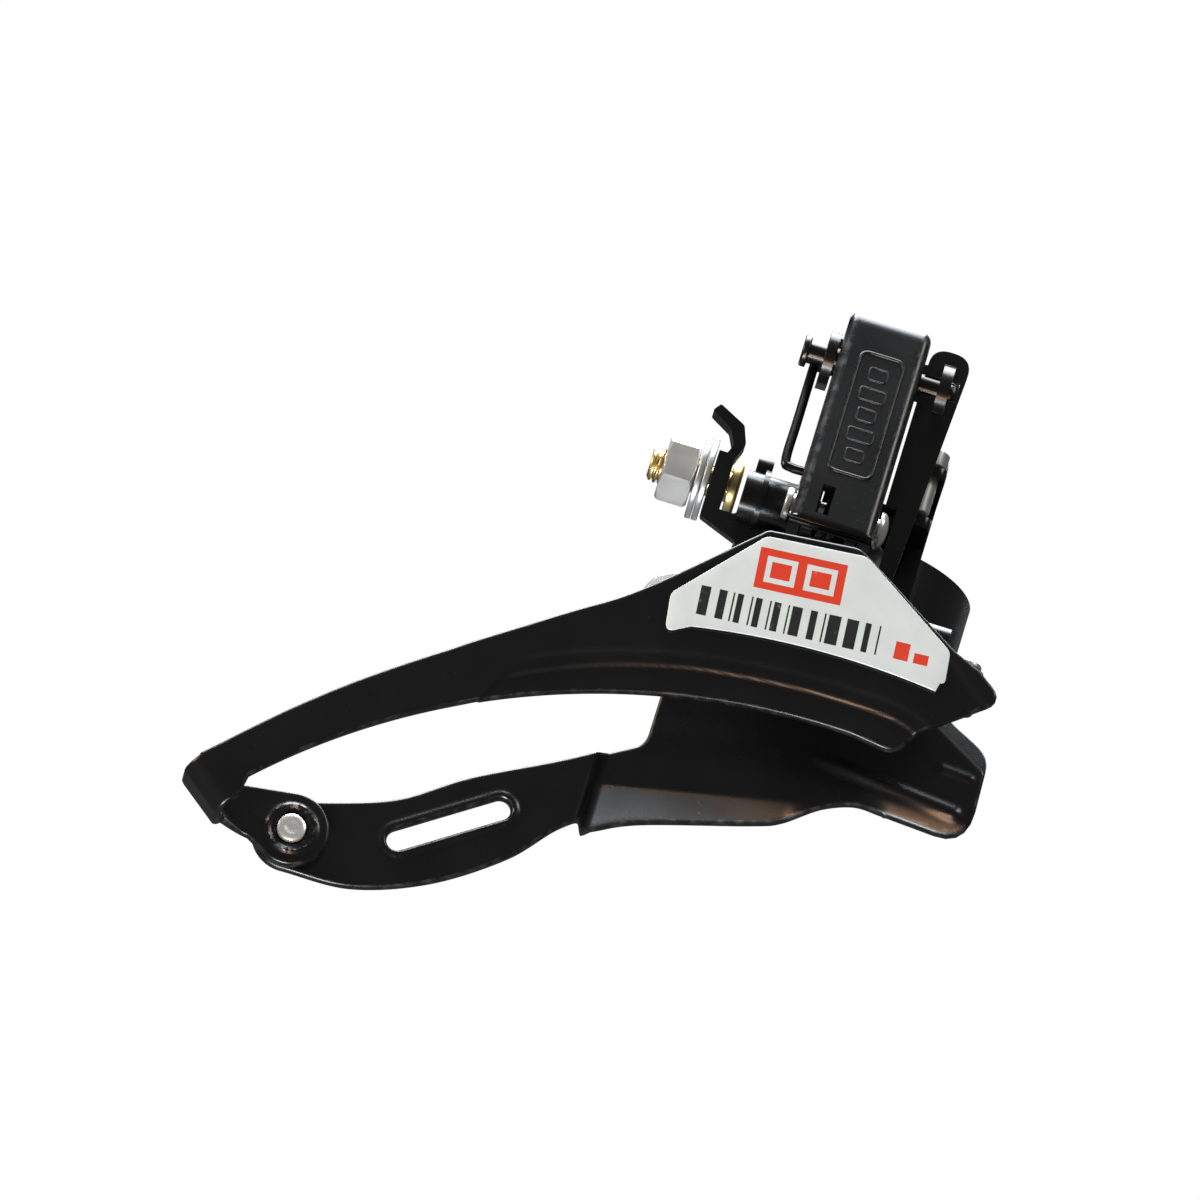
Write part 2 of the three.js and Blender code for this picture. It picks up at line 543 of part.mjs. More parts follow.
// The sheet of the inner plate in plan: the front part stands further inboard than the tail.
function innerSheet() {
  const step = INNER_Y - TAIL_Y;
  return outline([[-70, TAIL_Y], [-26, TAIL_Y, 3], [-21, TAIL_Y + step, 3], [30, INNER_Y],
    [30, INNER_Y + SHEET], [-21.4, INNER_Y + SHEET, 3], [-26.4, TAIL_Y + SHEET, 3], [-70, TAIL_Y + SHEET]]);
}

function cageInner() {
  const slot = strap([-46.1, -58.4], 1.4, [-34.7, -50.4], 1.401);
  let body = plateY(innerOutline(), TAIL_Y - 2, INNER_Y + 4, 12).intersect(plateZ(innerSheet(), -80, 0));
  body = body.subtract(plateY(slot, TAIL_Y - 3, INNER_Y + 5));
  for (const at of [...PLATE_RIVETS, ...LEG_RIVETS]) {
    body = body.subtract(rodY(at, RIVET_HOLE_R, INNER_Y - 1, INNER_Y + 3, 20));
  }
  return body.subtract(rodY(RIVET_TAIL, 2.15, TAIL_Y - 1, TAIL_Y + 3));
}

// A channel over the chain passage, open below, which holds the two plates apart.
function cageBridge() {
  const section = outline([[BRIDGE_Y[0], BRIDGE_Z[0]], [BRIDGE_Y[0], BRIDGE_Z[1], 2], [BRIDGE_Y[1], BRIDGE_Z[1], 2],
    [BRIDGE_Y[1], BRIDGE_Z[0]], [BRIDGE_Y[1] - SHEET, BRIDGE_Z[0]], [BRIDGE_Y[1] - SHEET, BRIDGE_Z[1] - SHEET, 1],
    [BRIDGE_Y[0] + SHEET, BRIDGE_Z[1] - SHEET, 1], [BRIDGE_Y[0] + SHEET, BRIDGE_Z[0]]]);
  let body = plateX(section, ...BRIDGE_X);
  for (const at of [...PLATE_RIVETS, ...LEG_RIVETS]) {
    body = body.subtract(rodY(at, RIVET_HOLE_R, INNER_Y - 5, INNER_Y + 1, 20));
  }
  for (const at of PLATE_RIVETS) body = body.subtract(rodY(at, RIVET_HOLE_R, OUTER_Y, OUTER_Y + 5, 20));
  return body;
}

add("cage_outer_plate", cageOuter(), STEEL_BLACK);
add("cage_inner_plate", cageInner(), STEEL_BLACK);
add("cage_bridge", cageBridge(), STEEL_BLACK);

// A rivet along Y: shank, and a head of the given radius at either end.
function rivetY(at, shank, from, to, heads, thick = 0.8) {
  const parts = [rodY(at, shank, from, to, 20)];
  if (heads[0]) parts.push(rodY(at, heads[0], from - thick, from + 0.1, 20));
  if (heads[1]) parts.push(rodY(at, heads[1], to - 0.1, to + thick, 20));
  return join(...parts);
}

PLATE_RIVETS.forEach((at, i) => {
  const outer = rivetY(at, RIVET_R, OUTER_Y + 0.05, BRIDGE_Y[0] + SHEET + GAP, [0, RIVET_HEAD_R]);
  const inner = rivetY(at, RIVET_R, BRIDGE_Y[1] - SHEET - GAP, INNER_Y + SHEET + GAP, [RIVET_HEAD_R, RIVET_HEAD_R]);
  add(`rivet_outer_plate_${i + 1}`, outer, STEEL_ZINC);
  add(`rivet_inner_plate_${i + 1}`, inner, STEEL_ZINC);
});
LEG_RIVETS.forEach((at, i) => {
  const rivet = rivetY(at, RIVET_R, BRIDGE_Y[1] - SHEET - GAP, LEG_Y[1] + GAP, [RIVET_HEAD_R, RIVET_HEAD_R]);
  add(`rivet_carrier_${i + 1}`, rivet, STEEL_ZINC);
});
add("tail_rivet", rivetY(RIVET_TAIL, 1.85, TAB_Y[0] - 0.9, TAIL_Y + SHEET + GAP, [0, 3]), STEEL_BRIGHT);

// ---- label ----
function label() {
  const radius = 104.2;
  const shape = new THREE.Shape();
  shape.moveTo(15.2, -20.2);
  shape.lineTo(14.8, -17);
  shape.quadraticCurveTo(14.7, -15.9, 13.8, -15.3);
  shape.lineTo(1.6, -7.2);
  shape.quadraticCurveTo(0.8, -6.6, -0.4, -6.7);
  shape.lineTo(-11, -7.8);
  shape.quadraticCurveTo(-12.2, -7.9, -13, -8.8);
  shape.lineTo(-21, -18.2);
  shape.quadraticCurveTo(-21.9, -19.3, -21.7, -20.6);
  shape.lineTo(-21.3, -22.8);
  shape.quadraticCurveTo(-21, -24.3, -19.4, -24);
  shape.absarc(...RING_AT, radius, alongRing(radius, -18.6), alongRing(radius, 14), true);
  shape.closePath();
  return plateY(shape, OUTER_Y - 0.55, OUTER_Y - 0.25, 12);
}

add("label", label(), FILM);

export default object;
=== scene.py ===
import json
import math

import bmesh
import bpy
import numpy as np
from mathutils import Matrix, Vector
from mathutils.geometry import delaunay_2d_cdt


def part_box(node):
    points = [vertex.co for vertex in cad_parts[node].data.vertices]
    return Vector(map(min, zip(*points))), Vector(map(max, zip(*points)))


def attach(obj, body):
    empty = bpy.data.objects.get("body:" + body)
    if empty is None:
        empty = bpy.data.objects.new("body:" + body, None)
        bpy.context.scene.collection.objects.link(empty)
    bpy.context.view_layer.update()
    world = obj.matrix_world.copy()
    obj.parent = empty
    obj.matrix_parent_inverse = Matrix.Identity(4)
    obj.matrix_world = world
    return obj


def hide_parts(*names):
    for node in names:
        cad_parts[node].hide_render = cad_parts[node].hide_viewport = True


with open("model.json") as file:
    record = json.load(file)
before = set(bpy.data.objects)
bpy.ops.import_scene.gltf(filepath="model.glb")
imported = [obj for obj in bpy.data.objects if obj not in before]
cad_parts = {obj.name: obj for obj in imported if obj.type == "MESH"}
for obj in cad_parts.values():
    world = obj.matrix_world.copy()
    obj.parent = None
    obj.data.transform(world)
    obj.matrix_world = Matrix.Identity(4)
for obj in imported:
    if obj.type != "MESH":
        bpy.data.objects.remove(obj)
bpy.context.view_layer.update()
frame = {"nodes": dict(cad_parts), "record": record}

# Front derailleur: pressed black steel cage on a parallelogram, with a clamp band.
# Lengths below are millimetres in the frame's axes; MM turns them into metres.
MM = 0.001


def span(node, axis):
    """Lowest and highest value of a CAD node along one axis, in millimetres."""
    low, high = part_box(node)
    return low[axis] / MM, high[axis] / MM


def middle(node):
    """Centre of a CAD node, in millimetres."""
    low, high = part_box(node)
    return (low + high) / 2 / MM


# ---------------------------------------------------------------- finishes
class Wire:
    """A shader socket that does arithmetic: each operator adds one Math node."""

    def __init__(self, finish, socket):
        self.finish, self.socket = finish, socket

    def __add__(self, other):
        return self.finish.maths("ADD", self, other)

    def __sub__(self, other):
        return self.finish.maths("SUBTRACT", self, other)

    def __mul__(self, other):
        return self.finish.maths("MULTIPLY", self, other)

    def __truediv__(self, other):
        return self.finish.maths("DIVIDE", self, other)

    def __gt__(self, other):
        return self.finish.maths("GREATER_THAN", self, other)

    def __lt__(self, other):
        return self.finish.maths("LESS_THAN", self, other)

    def __rsub__(self, other):
        return self.finish.maths("SUBTRACT", other, self)

    def __abs__(self):
        return self.finish.maths("ABSOLUTE", self)

    __radd__ = __add__
    __rmul__ = __mul__


class Finish:
    """A material made of nodes, with the patterns that every finish here shares."""

    def __init__(self, name):
        self.material = bpy.data.materials.new(name)
        self.material.use_nodes = True
        self.tree = self.material.node_tree
        self.tree.nodes.clear()
        self.shader = self.tree.nodes.new("ShaderNodeBsdfPrincipled")
        output = self.tree.nodes.new("ShaderNodeOutputMaterial")
        self.tree.links.new(self.shader.outputs[0], output.inputs[0])
        self.place = self.node("ShaderNodeTexCoord", out="Object")

    def node(self, kind, settings=None, sockets=None, out=0):
        made = self.tree.nodes.new(kind)
        for key, value in (settings or {}).items():
            if key == "stops":
                self.set_stops(made.color_ramp.elements, value)
            else:
                setattr(made, key, value)
        for key, value in (sockets or {}).items():
            self.feed(made.inputs[key], value)
        return Wire(self, made.outputs[out])

    def set_stops(self, elements, stops):
        while len(elements) < len(stops):
            elements.new(1)
        for element, (at, colour) in zip(elements, stops):
            element.position = at
            element.color = (*colour, 1)

    def feed(self, socket, value):
        if isinstance(value, Wire):
            self.tree.links.new(value.socket, socket)
        elif isinstance(value, tuple) and len(value) == 3 and socket.type == "RGBA":
            socket.default_value = (*value, 1)
        else:
            socket.default_value = value

    def maths(self, operation, first, second=0.0):
        return self.node("ShaderNodeMath", {"operation": operation}, {0: first, 1: second})

    def clamp(self, value):
        return self.node("ShaderNodeClamp", None, {"Value": value})

    def mix(self, factor, first, second):
        return self.node("ShaderNodeMix", {"data_type": "RGBA"}, {0: factor, 6: first, 7: second}, out=2)

    def noise(self, size, detail=3.0, stretch=None):
        """Soft noise whose features are about `size` millimetres across."""
        place = self.place
        if stretch:
            place = self.node("ShaderNodeVectorMath", {"operation": "MULTIPLY"}, {0: place, 1: stretch})
        sockets = {"Vector": place, "Scale": 1 / (size * MM), "Detail": detail}
        return self.node("ShaderNodeTexNoise", None, sockets)

    def edge(self):
        """1 on the narrow rounded edges of a pressed piece, 0 on its faces."""
        return self.node("ShaderNodeAttribute", {"attribute_name": "edge"}, out="Fac")

    def bump(self, height, strength, depth):
        sockets = {"Height": height, "Strength": strength, "Distance": depth * MM}
        return self.node("ShaderNodeBump", None, sockets, out="Normal")

    def set(self, **sockets):
        for name, value in sockets.items():
            self.feed(self.shader.inputs[name.replace("_", " ")], value)
        return self.material


def black_satin(name="black satin paint", tone=0.0034, rough=0.27):
    """Baked black paint: a fine orange peel, slow tone changes and thin spots on the edges."""
    paint = Finish(name)
    slow = paint.noise(9, 3)
    peel = paint.noise(0.55, 2)
    grit = paint.noise(0.16, 2)
    worn = paint.clamp(paint.edge() * (paint.noise(1.3, 5) - 0.46) * 5.0)
    dust = paint.clamp((paint.noise(0.5, 4) - 0.68) * 9.0)
    base = paint.mix(slow, (tone * 0.75, tone * 0.75, tone * 0.8), (tone * 1.3, tone * 1.27, tone * 1.25))
    base = paint.mix(worn * 0.4, base, (0.035, 0.034, 0.032))
    base = paint.mix(dust * 0.2, base, (0.03, 0.03, 0.028))
    return paint.set(
        Base_Color=base,
        Roughness=rough - 0.05 + slow * 0.10 + worn * 0.12 + dust * 0.15,
        Normal=paint.bump(peel * 0.6 + grit * 0.4, 0.07, 0.02),
        Specular_IOR_Level=0.42,
    )


def plated(name, light, dark, rough, blotch=2.5):
    """Plated steel: a crystalline tone, fine drawing marks and small dull pits."""
    plate = Finish(name)
    cloud = plate.noise(blotch, 4)
    drawn = plate.noise(0.35, 3, (1.0, 6.0, 1.0))
    pits = plate.clamp((plate.noise(0.45, 3) - 0.66) * 8.0)
    base = plate.mix(cloud, dark, light)
    base = plate.mix(pits * 0.2, base, tuple(0.5 * c for c in dark))
    return plate.set(
        Base_Color=base,
        Metallic=0.8,
        Roughness=rough + cloud * 0.14 + drawn * 0.08 + pits * 0.15,
        Normal=plate.bump(drawn * 0.5 + cloud * 0.5, 0.2, 0.012),
    )


def yellow_zinc():
    """Chromated zinc: straw yellow with faint rose and green patches."""
    plate = Finish("yellow zinc")
    cloud = plate.noise(1.6, 4)
    film = plate.node(
        "ShaderNodeValToRGB",
        {"stops": [(0.3, (0.42, 0.30, 0.12)), (0.5, (0.66, 0.48, 0.20)), (0.7, (0.56, 0.50, 0.28))]},
        {"Fac": cloud},
    )
    drawn = plate.noise(0.3, 3)
    return plate.set(
        Base_Color=film,
        Metallic=1.0,
        Roughness=0.26 + cloud * 0.16 + drawn * 0.06,
        Normal=plate.bump(drawn, 0.15, 0.01),
    )


def printed_film():
    """Silver film with a red block, a band of plain black blocks and a small red mark."""
    film = Finish("printed film")
    axes = film.node("ShaderNodeSeparateXYZ", None, {0: film.place})
    node = axes.socket.node
    x = Wire(film, node.outputs[0]) / MM
    z = Wire(film, node.outputs[2]) / MM

    def turned_axes(at, degrees):
        turn = math.radians(degrees)
        across = (x - at[0]) * math.cos(turn) + (z - at[1]) * math.sin(turn)
        up = (z - at[1]) * math.cos(turn) - (x - at[0]) * math.sin(turn)
        return across, up

    def block(across, up, width, height):
        return (abs(across) < width / 2) * (abs(up) < height / 2)

    def one_of(*masks):
        both = masks[0]
        for mask in masks[1:]:
            both = film.maths("MAXIMUM", both, mask)
        return both

    across, up = turned_axes((-6.6, -11.9), 5)
    frames = []
    for side in (-2.6, 2.6):
        ring = block(across - side, up, 4.0, 3.6) * (1 - block(across - side, up, 2.6, 2.2))
        frames.append(ring)
    red = block(across, up, 11.4, 5.6) * (1 - one_of(*frames))
    across, up = turned_axes((9.9, -17.6), 4)
    small = block(across + 1.3, up, 1.9, 2.4)
    small = one_of(small, block(across - 1.3, up + 0.5, 1.9, 1.4))

    across, up = turned_axes((-6.5, -18.1), 4.3)
    pitch = 2.4
    cell = film.maths("FLOOR", across / pitch)
    within = across / pitch - cell
    pick = film.node("ShaderNodeTexWhiteNoise", {"noise_dimensions": "1D"}, {"W": cell})
    bars = (within > 0.1) * (within < 0.42 + pick * 0.4)
    thin = (within > 0.86) * (within < 0.95) * (pick < 0.5)
    dark = one_of(bars, thin) * (abs(up) < 2.0) * (abs(across) < 12.0)

    cloud = film.noise(3, 3)
    grain = film.noise(0.2, 2)
    silver = film.mix(cloud, (0.50, 0.54, 0.53), (0.60, 0.63, 0.62))
    base = film.mix(film.clamp(one_of(red, small)), silver, (0.56, 0.04, 0.015))
    base = film.mix(dark, base, (0.010, 0.010, 0.011))
    rub = film.clamp((film.noise(0.9, 5) - 0.64) * 6.0)
    base = film.mix(rub * 0.25, base, (0.45, 0.46, 0.45))
    return film.set(
        Base_Color=base,
        Metallic=0.15 * (1 - dark),
        Roughness=0.34 + cloud * 0.08 + rub * 0.2,
        Normal=film.bump(grain, 0.08, 0.01),
    )


BLACK = black_satin()
ZINC = plated("zinc plate", (0.62, 0.64, 0.63), (0.42, 0.43, 0.42), 0.24)
BRIGHT = plated("bright steel", (0.86, 0.86, 0.83), (0.66, 0.64, 0.60), 0.2, 3.5)
YELLOW = yellow_zinc()
PRINT = printed_film()
SLOT_OF = {
    "black_satin": BLACK,
    "zinc_plated": ZINC,
    "bright_pin": BRIGHT,
    "yellow_zinc": YELLOW,
    "printed_film": PRINT,
}


# ---------------------------------------------------------------- pieces
BODY_OF = {node: body for body, nodes in frame["record"]["behaviour"]["bodies"].items() for node in nodes}


def finished(name, mesh, node, slot, sharp=38):
    """Puts a mesh in the scene in place of a CAD node, on the node's body."""
    mesh.materials.clear()
    mesh.materials.append(SLOT_OF[slot])
    mesh.shade_smooth()
    mesh.set_sharp_from_angle(angle=math.radians(sharp))
    piece = bpy.data.objects.new(name, mesh)
    bpy.context.scene.collection.objects.link(piece)
    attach(piece, BODY_OF[node])
    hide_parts(node)
    return piece


def mesh_from(shape, name):
    mesh = bpy.data.meshes.new(name)
    shape.to_mesh(mesh)
    shape.free()
    return mesh


def tag_edges(shape, faces):
    layer = shape.loops.layers.float.get("edge") or shape.loops.layers.float.new("edge")
    for face in faces:
        for corner in face.loops:
            corner[layer] = 1.0


def node_shape(node):
    """A CAD node's mesh with its loose triangles welded and its flat faces whole."""
    shape = bmesh.new()
    shape.from_mesh(frame["nodes"][node].data)
    bmesh.ops.remove_doubles(shape, verts=shape.verts, dist=0.004 * MM)
    bmesh.ops.dissolve_limit(shape, angle_limit=math.radians(0.6), verts=shape.verts, edges=shape.edges)
    return shape


def round_edges(shape, width, segments, wanted, clamp=True):
    """Rounds the edges that `wanted` picks and tags the new faces for paint wear."""
    edges = [e for e in shape.edges if len(e.link_faces) == 2 and wanted(e)]
    made = bmesh.ops.bevel(shape, geom=edges, offset=width * MM, segments=segments,
                           profile=0.5, affect="EDGES", clamp_overlap=clamp)
    tag_edges(shape, made["faces"])


def is_sharp(edge):
    return edge.calc_face_angle(0) > math.radians(32)


def pressed(name, node, slot="black_satin", width=0.22, wide=None, wide_width=1.1):
    """A CAD node with rounded edges; `wide` picks edges that are sheet bends."""
    shape = node_shape(node)
    shape.loops.layers.float.new("edge")
    if wide:
        round_edges(shape, wide_width, 5, wide, False)
    round_edges(shape, width, 2, is_sharp)
    piece = finished(name, mesh_from(shape, name), node, slot, 50)
    even = piece.modifiers.new("even shading", "WEIGHTED_NORMAL")
    even.keep_sharp = True
    even.weight = 80
    return piece


# ---------------------------------------------------------------- outlines
def arc(centre, radius, start, end, steps=24):
    angles = np.linspace(math.radians(start), math.radians(end), steps + 1)
    return [(centre[0] + radius * math.cos(a), centre[1] + radius * math.sin(a)) for a in angles]


def spline(points, steps=10):
    """A smooth curve through the points."""
    points = [Vector(p) for p in points]
    padded = [2 * points[0] - points[1], *points, 2 * points[-1] - points[-2]]
    made = []
    for p0, p1, p2, p3 in zip(padded, padded[1:], padded[2:], padded[3:]):
        for i in range(steps):
            t = i / steps
            made.append(0.5 * (2 * p1 + (p2 - p0) * t + (2 * p0 - 5 * p1 + 4 * p2 - p3) * t * t
                               + (3 * p1 - p0 - 3 * p2 + p3) * t ** 3))
    return [tuple(p) for p in [*made, points[-1]]]


def rounded(points, steps=5):
    """A closed outline; each point is (a, b, radius of its corner)."""
    made = []
    count = len(points)
    for i, (a, b, radius) in enumerate(points):
        here = Vector((a, b))
        before = Vector(points[i - 1][:2]) - here
        after = Vector(points[(i + 1) % count][:2]) - here
        if radius <= 0:
            made.append((a, b))
            continue
        half = before.angle(after) / 2
        run = min(radius / math.tan(half), before.length * 0.49, after.length * 0.49)
        start, end = here + before.normalized() * run, here + after.normalized() * run
        for k in range(steps + 1):
            t = k / steps
            made.append(tuple((1 - t) ** 2 * start + 2 * t * (1 - t) * here + t * t * end))
    return made


def spaced(loop, step):
    """A closed loop cut into runs no longer than `step`, without repeated points."""
    made = []
    for a, b in zip(loop, loop[1:] + loop[:1]):
        length = math.dist(a, b)
        if length < 1e-3:
            continue
        parts = max(1, math.ceil(length / step))
        made += [(a[0] + (b[0] - a[0]) * k / parts, a[1] + (b[1] - a[1]) * k / parts) for k in range(parts)]
    return made


def signed_area(loop):
    return sum(a[0] * b[1] - b[0] * a[1] for a, b in zip(loop, loop[1:] + loop[:1])) / 2


def inset(loop, distance):
    """The loop moved to its left by `distance`."""
    points = np.array(loop)
    on = np.roll(points, -1, 0) - points
    back = points - np.roll(points, 1, 0)
    on /= np.linalg.norm(on, axis=1)[:, None]
    back /= np.linalg.norm(back, axis=1)[:, None]
    normal = np.stack([-(on[:, 1] + back[:, 1]), on[:, 0] + back[:, 0]], 1)
    normal /= np.maximum(np.linalg.norm(normal, axis=1), 1e-6)[:, None]
    return points + normal * distance


def inside(points, loops):
    """Which points lie inside the first loop and outside the others."""
    points = np.asarray(points)
    odd = np.zeros(len(points), bool)
    for loop in loops:
        a = np.asarray(loop)
        b = np.roll(a, -1, 0)
        for (ax, ay), (bx, by) in zip(a, b):
            if ay == by:
                continue
            crosses = (ay > points[:, 1]) != (by > points[:, 1])
            odd ^= crosses & (points[:, 0] < (bx - ax) * (points[:, 1] - ay) / (by - ay) + ax)
    return odd


def distance_to(points, line):
    """Distance of each point to an open line of points."""
    points, line = np.asarray(points, float), np.asarray(line, float)
    best = np.full(len(points), 1e9)
    for a, b in zip(line, line[1:]):
        along = b - a
        t = np.clip(((points - a) @ along) / (along @ along), 0, 1)
        best = np.minimum(best, np.linalg.norm(points - a - t[:, None] * along, axis=1))
    return best


def ease(value, start, end):
    t = np.clip((value - start) / (end - start), 0, 1)
    return t * t * (3 - 2 * t)


def ridge(distance, half):
    """A smooth hill over a line, `half` wide to each side."""
    return np.cos(np.clip(distance / half, 0, 1) * math.pi) * 0.5 + 0.5


# ---------------------------------------------------------------- pressed sheet
def sheet(name, loops, thick, lift, to_space, cell=0.6, rim=0.24):
    """A pressed sheet with rounded rims.

    loops[0] is the outline and the others are holes, in flat coordinates. lift(points) is how far
    the sheet is pressed out at each point, and to_space(points, height) puts it in space."""
    loops = [spaced(loop, cell) for loop in loops]
    loops = [loop if (signed_area(loop) > 0) == (i == 0) else loop[::-1] for i, loop in enumerate(loops)]
    slopes = [math.radians(a) for a in (0, 30, 60, 90)]
    rings = [[inset(loop, rim * (1 - math.cos(a))) for a in slopes] for loop in loops]
    inner = [ring[-1] for ring in rings]
    low, high = inner[0].min(0), inner[0].max(0)
    xs, ys = (np.arange(low[i] + cell / 2, high[i], cell) for i in (0, 1))
    grid = np.array([(x + (k % 2) * cell / 2, y) for k, y in enumerate(ys) for x in xs])
    grid = grid[inside(grid, inner)]
    for loop in inner:
        closed = np.vstack([loop, loop[:1]])
        grid = grid[distance_to(grid, closed) > cell * 0.45]
    flat = np.vstack([*inner, grid])
    edges, start = [], 0
    for loop in inner:
        count = len(loop)
        edges += [(start + i, start + (i + 1) % count) for i in range(count)]
        start += count
    out, _, faces, came_from, _, _ = delaunay_2d_cdt([Vector(p) for p in flat], edges, [], 0, 1e-5)
    out = np.array([tuple(p) for p in out])
    keep = inside(np.array([out[list(f)].mean(0) for f in faces]), inner)
    faces = [f for f, k in zip(faces, keep) if k]
    where = {}
    for i, sources in enumerate(came_from):
        for source in sources:
            where[source] = i

    shape = bmesh.new()
    layer = shape.loops.layers.float.new("edge")

    def side(top):
        """One face of the sheet, with its rounded rim, as grid vertices and rim rings."""
        level = 0.0 if top else -thick
        fall = -rim if top else rim
        heights = lift(out)
        verts = [shape.verts.new(Vector(p) * MM) for p in to_space(out, heights + level)]
        for a, b, c in faces:
            shape.faces.new((verts[a], verts[b], verts[c]) if top else (verts[c], verts[b], verts[a]))
        made = []
        start = 0
        for ring in rings:
            rows = []
            for points, a in zip(ring[:-1], slopes):
                height = lift(points) + level + fall * (1 - math.sin(a))
                rows.append([shape.verts.new(Vector(p) * MM) for p in to_space(points, height)])
            rows.append([verts[where[start + i]] for i in range(len(ring[0]))])
            start += len(ring[0])
            made.append(rows)
        return made

    def strip(first, second):
        for i in range(len(first)):
            k = (i + 1) % len(first)
            corners = [first[i], first[k], second[k], second[i]]
            if len(set(corners)) == 4:
                face = shape.faces.new(corners)
                for corner in face.loops:
                    corner[layer] = 1.0

    for top, bottom in zip(side(True), side(False)):
        for a, b in zip(top, top[1:]):
            strip(a, b)
        for a, b in zip(bottom, bottom[1:]):
            strip(b, a)
        strip(bottom[0], top[0])
    bmesh.ops.recalc_face_normals(shape, faces=shape.faces)
    return mesh_from(shape, name)


# ---------------------------------------------------------------- turned pieces
AXES = {"X": (Vector((0, 1, 0)), Vector((0, 0, 1)), Vector((1, 0, 0))),
        "Y": (Vector((0, 0, 1)), Vector((1, 0, 0)), Vector((0, 1, 0))),
        "Z": (Vector((1, 0, 0)), Vector((0, 1, 0)), Vector((0, 0, 1)))}


def revolve(name, rows, axis, centre, sides=64, closed=False):
    """A turned piece. Each row is (radius, height); the radius may be a function of the angle."""
    u, v, w = axis if isinstance(axis, tuple) else AXES[axis]
    base = Vector(centre) - w * Vector(centre).dot(w)
    shape = bmesh.new()
    made = []
    for radius, height in rows:
        if not callable(radius) and radius < 1e-6:
            made.append([shape.verts.new((base + w * height) * MM)])
            continue
        ring = []
        for k in range(sides):
            angle = 2 * math.pi * k / sides
            r = radius(angle) if callable(radius) else radius
            outward = u * math.cos(angle) + v * math.sin(angle)
            ring.append(shape.verts.new((base + w * height + outward * r) * MM))
        made.append(ring)
    pairs = list(zip(made, made[1:])) + ([(made[-1], made[0])] if closed else [])
    for a, b in pairs:
        for k in range(sides):
            n = (k + 1) % sides
            corners = [a[k % len(a)], a[n % len(a)], b[n % len(b)], b[k % len(b)]]
            corners = list(dict.fromkeys(corners))
            if len(corners) > 2:
                shape.faces.new(corners)
    bmesh.ops.recalc_face_normals(shape, faces=shape.faces)
    return mesh_from(shape, name)


def profile(points, closed=False):
    """Turned profile with its corners rounded; each point is (radius, height, corner radius)."""
    if closed:
        return rounded(points, 3)
    before = (points[0][0] - 5, points[0][1], 0)
    after = (points[-1][0] - 5, points[-1][1], 0)
    ends = rounded([before, *points, after], 3)[1:-1]
    return [(max(0.0, r), h) for r, h in ends]


WASHER_SWELL = 0.11            # leaves only a fine line of air between two washers


def washer(name, node, slot, bore):
    """A flat washer with rounded edges, turned about X, in the place of a CAD one."""
    low, high = span(node, 0)
    low, high = low - WASHER_SWELL, high + WASHER_SWELL
    edge = (span(node, 1)[1] - span(node, 1)[0]) / 2
    rows = profile([(bore, low, 0.12), (edge, low, 0.2), (edge, high, 0.2), (bore, high, 0.12)], True)
    return finished(name, revolve(name, rows, "X", middle(node), closed=True), node, slot)


def hex_rows(flat, bore, low, high):
    """Rows of a chamfered hexagon nut: a hexagon cut back by a cone at both ends."""
    def at(depth):
        cone = flat * 0.97 + depth * 1.75

        def radius(angle):
            turn = (angle + math.pi / 6) % (math.pi / 3) - math.pi / 6
            return min(flat / math.cos(turn), cone)
        return radius
    depths = (0, 0.06, 0.14, 0.24, 0.36, 0.5)
    up = [(at(d), low + d) for d in depths]
    down = [(at(d), high - d) for d in reversed(depths)]
    mouth = 0.3
    return [(bore, low + mouth), (bore + mouth, low), *up, *down, (bore + mouth, high), (bore, high - mouth)]


def riveted(name, node, shank, head_low, head_high, slot="zinc_plated", thick=0.8):
    """A rivet along Y: each head is a low dome of the given radius, or 0 for none."""
    low, high = span(node, 1)
    rows = []
    if head_low:
        rows += [(0, low), (head_low * 0.55, low + 0.03), (head_low * 0.86, low + 0.17),
                 (head_low, low + 0.42), (head_low, low + thick)]
    else:
        rows += [(0, low), (shank * 0.9, low), (shank, low + 0.12)]
    rows += [(shank, low + (thick if head_low else 0.12)), (shank, high - (thick if head_high else 0.12))]
    if head_high:
        rows += [(head_high, high - thick), (head_high, high - 0.42), (head_high * 0.86, high - 0.17),
                 (head_high * 0.55, high - 0.03), (0, high)]
    else:
        rows += [(shank * 0.9, high), (0, high)]
    return finished(name, revolve(name, rows, "Y", middle(node)), node, slot)


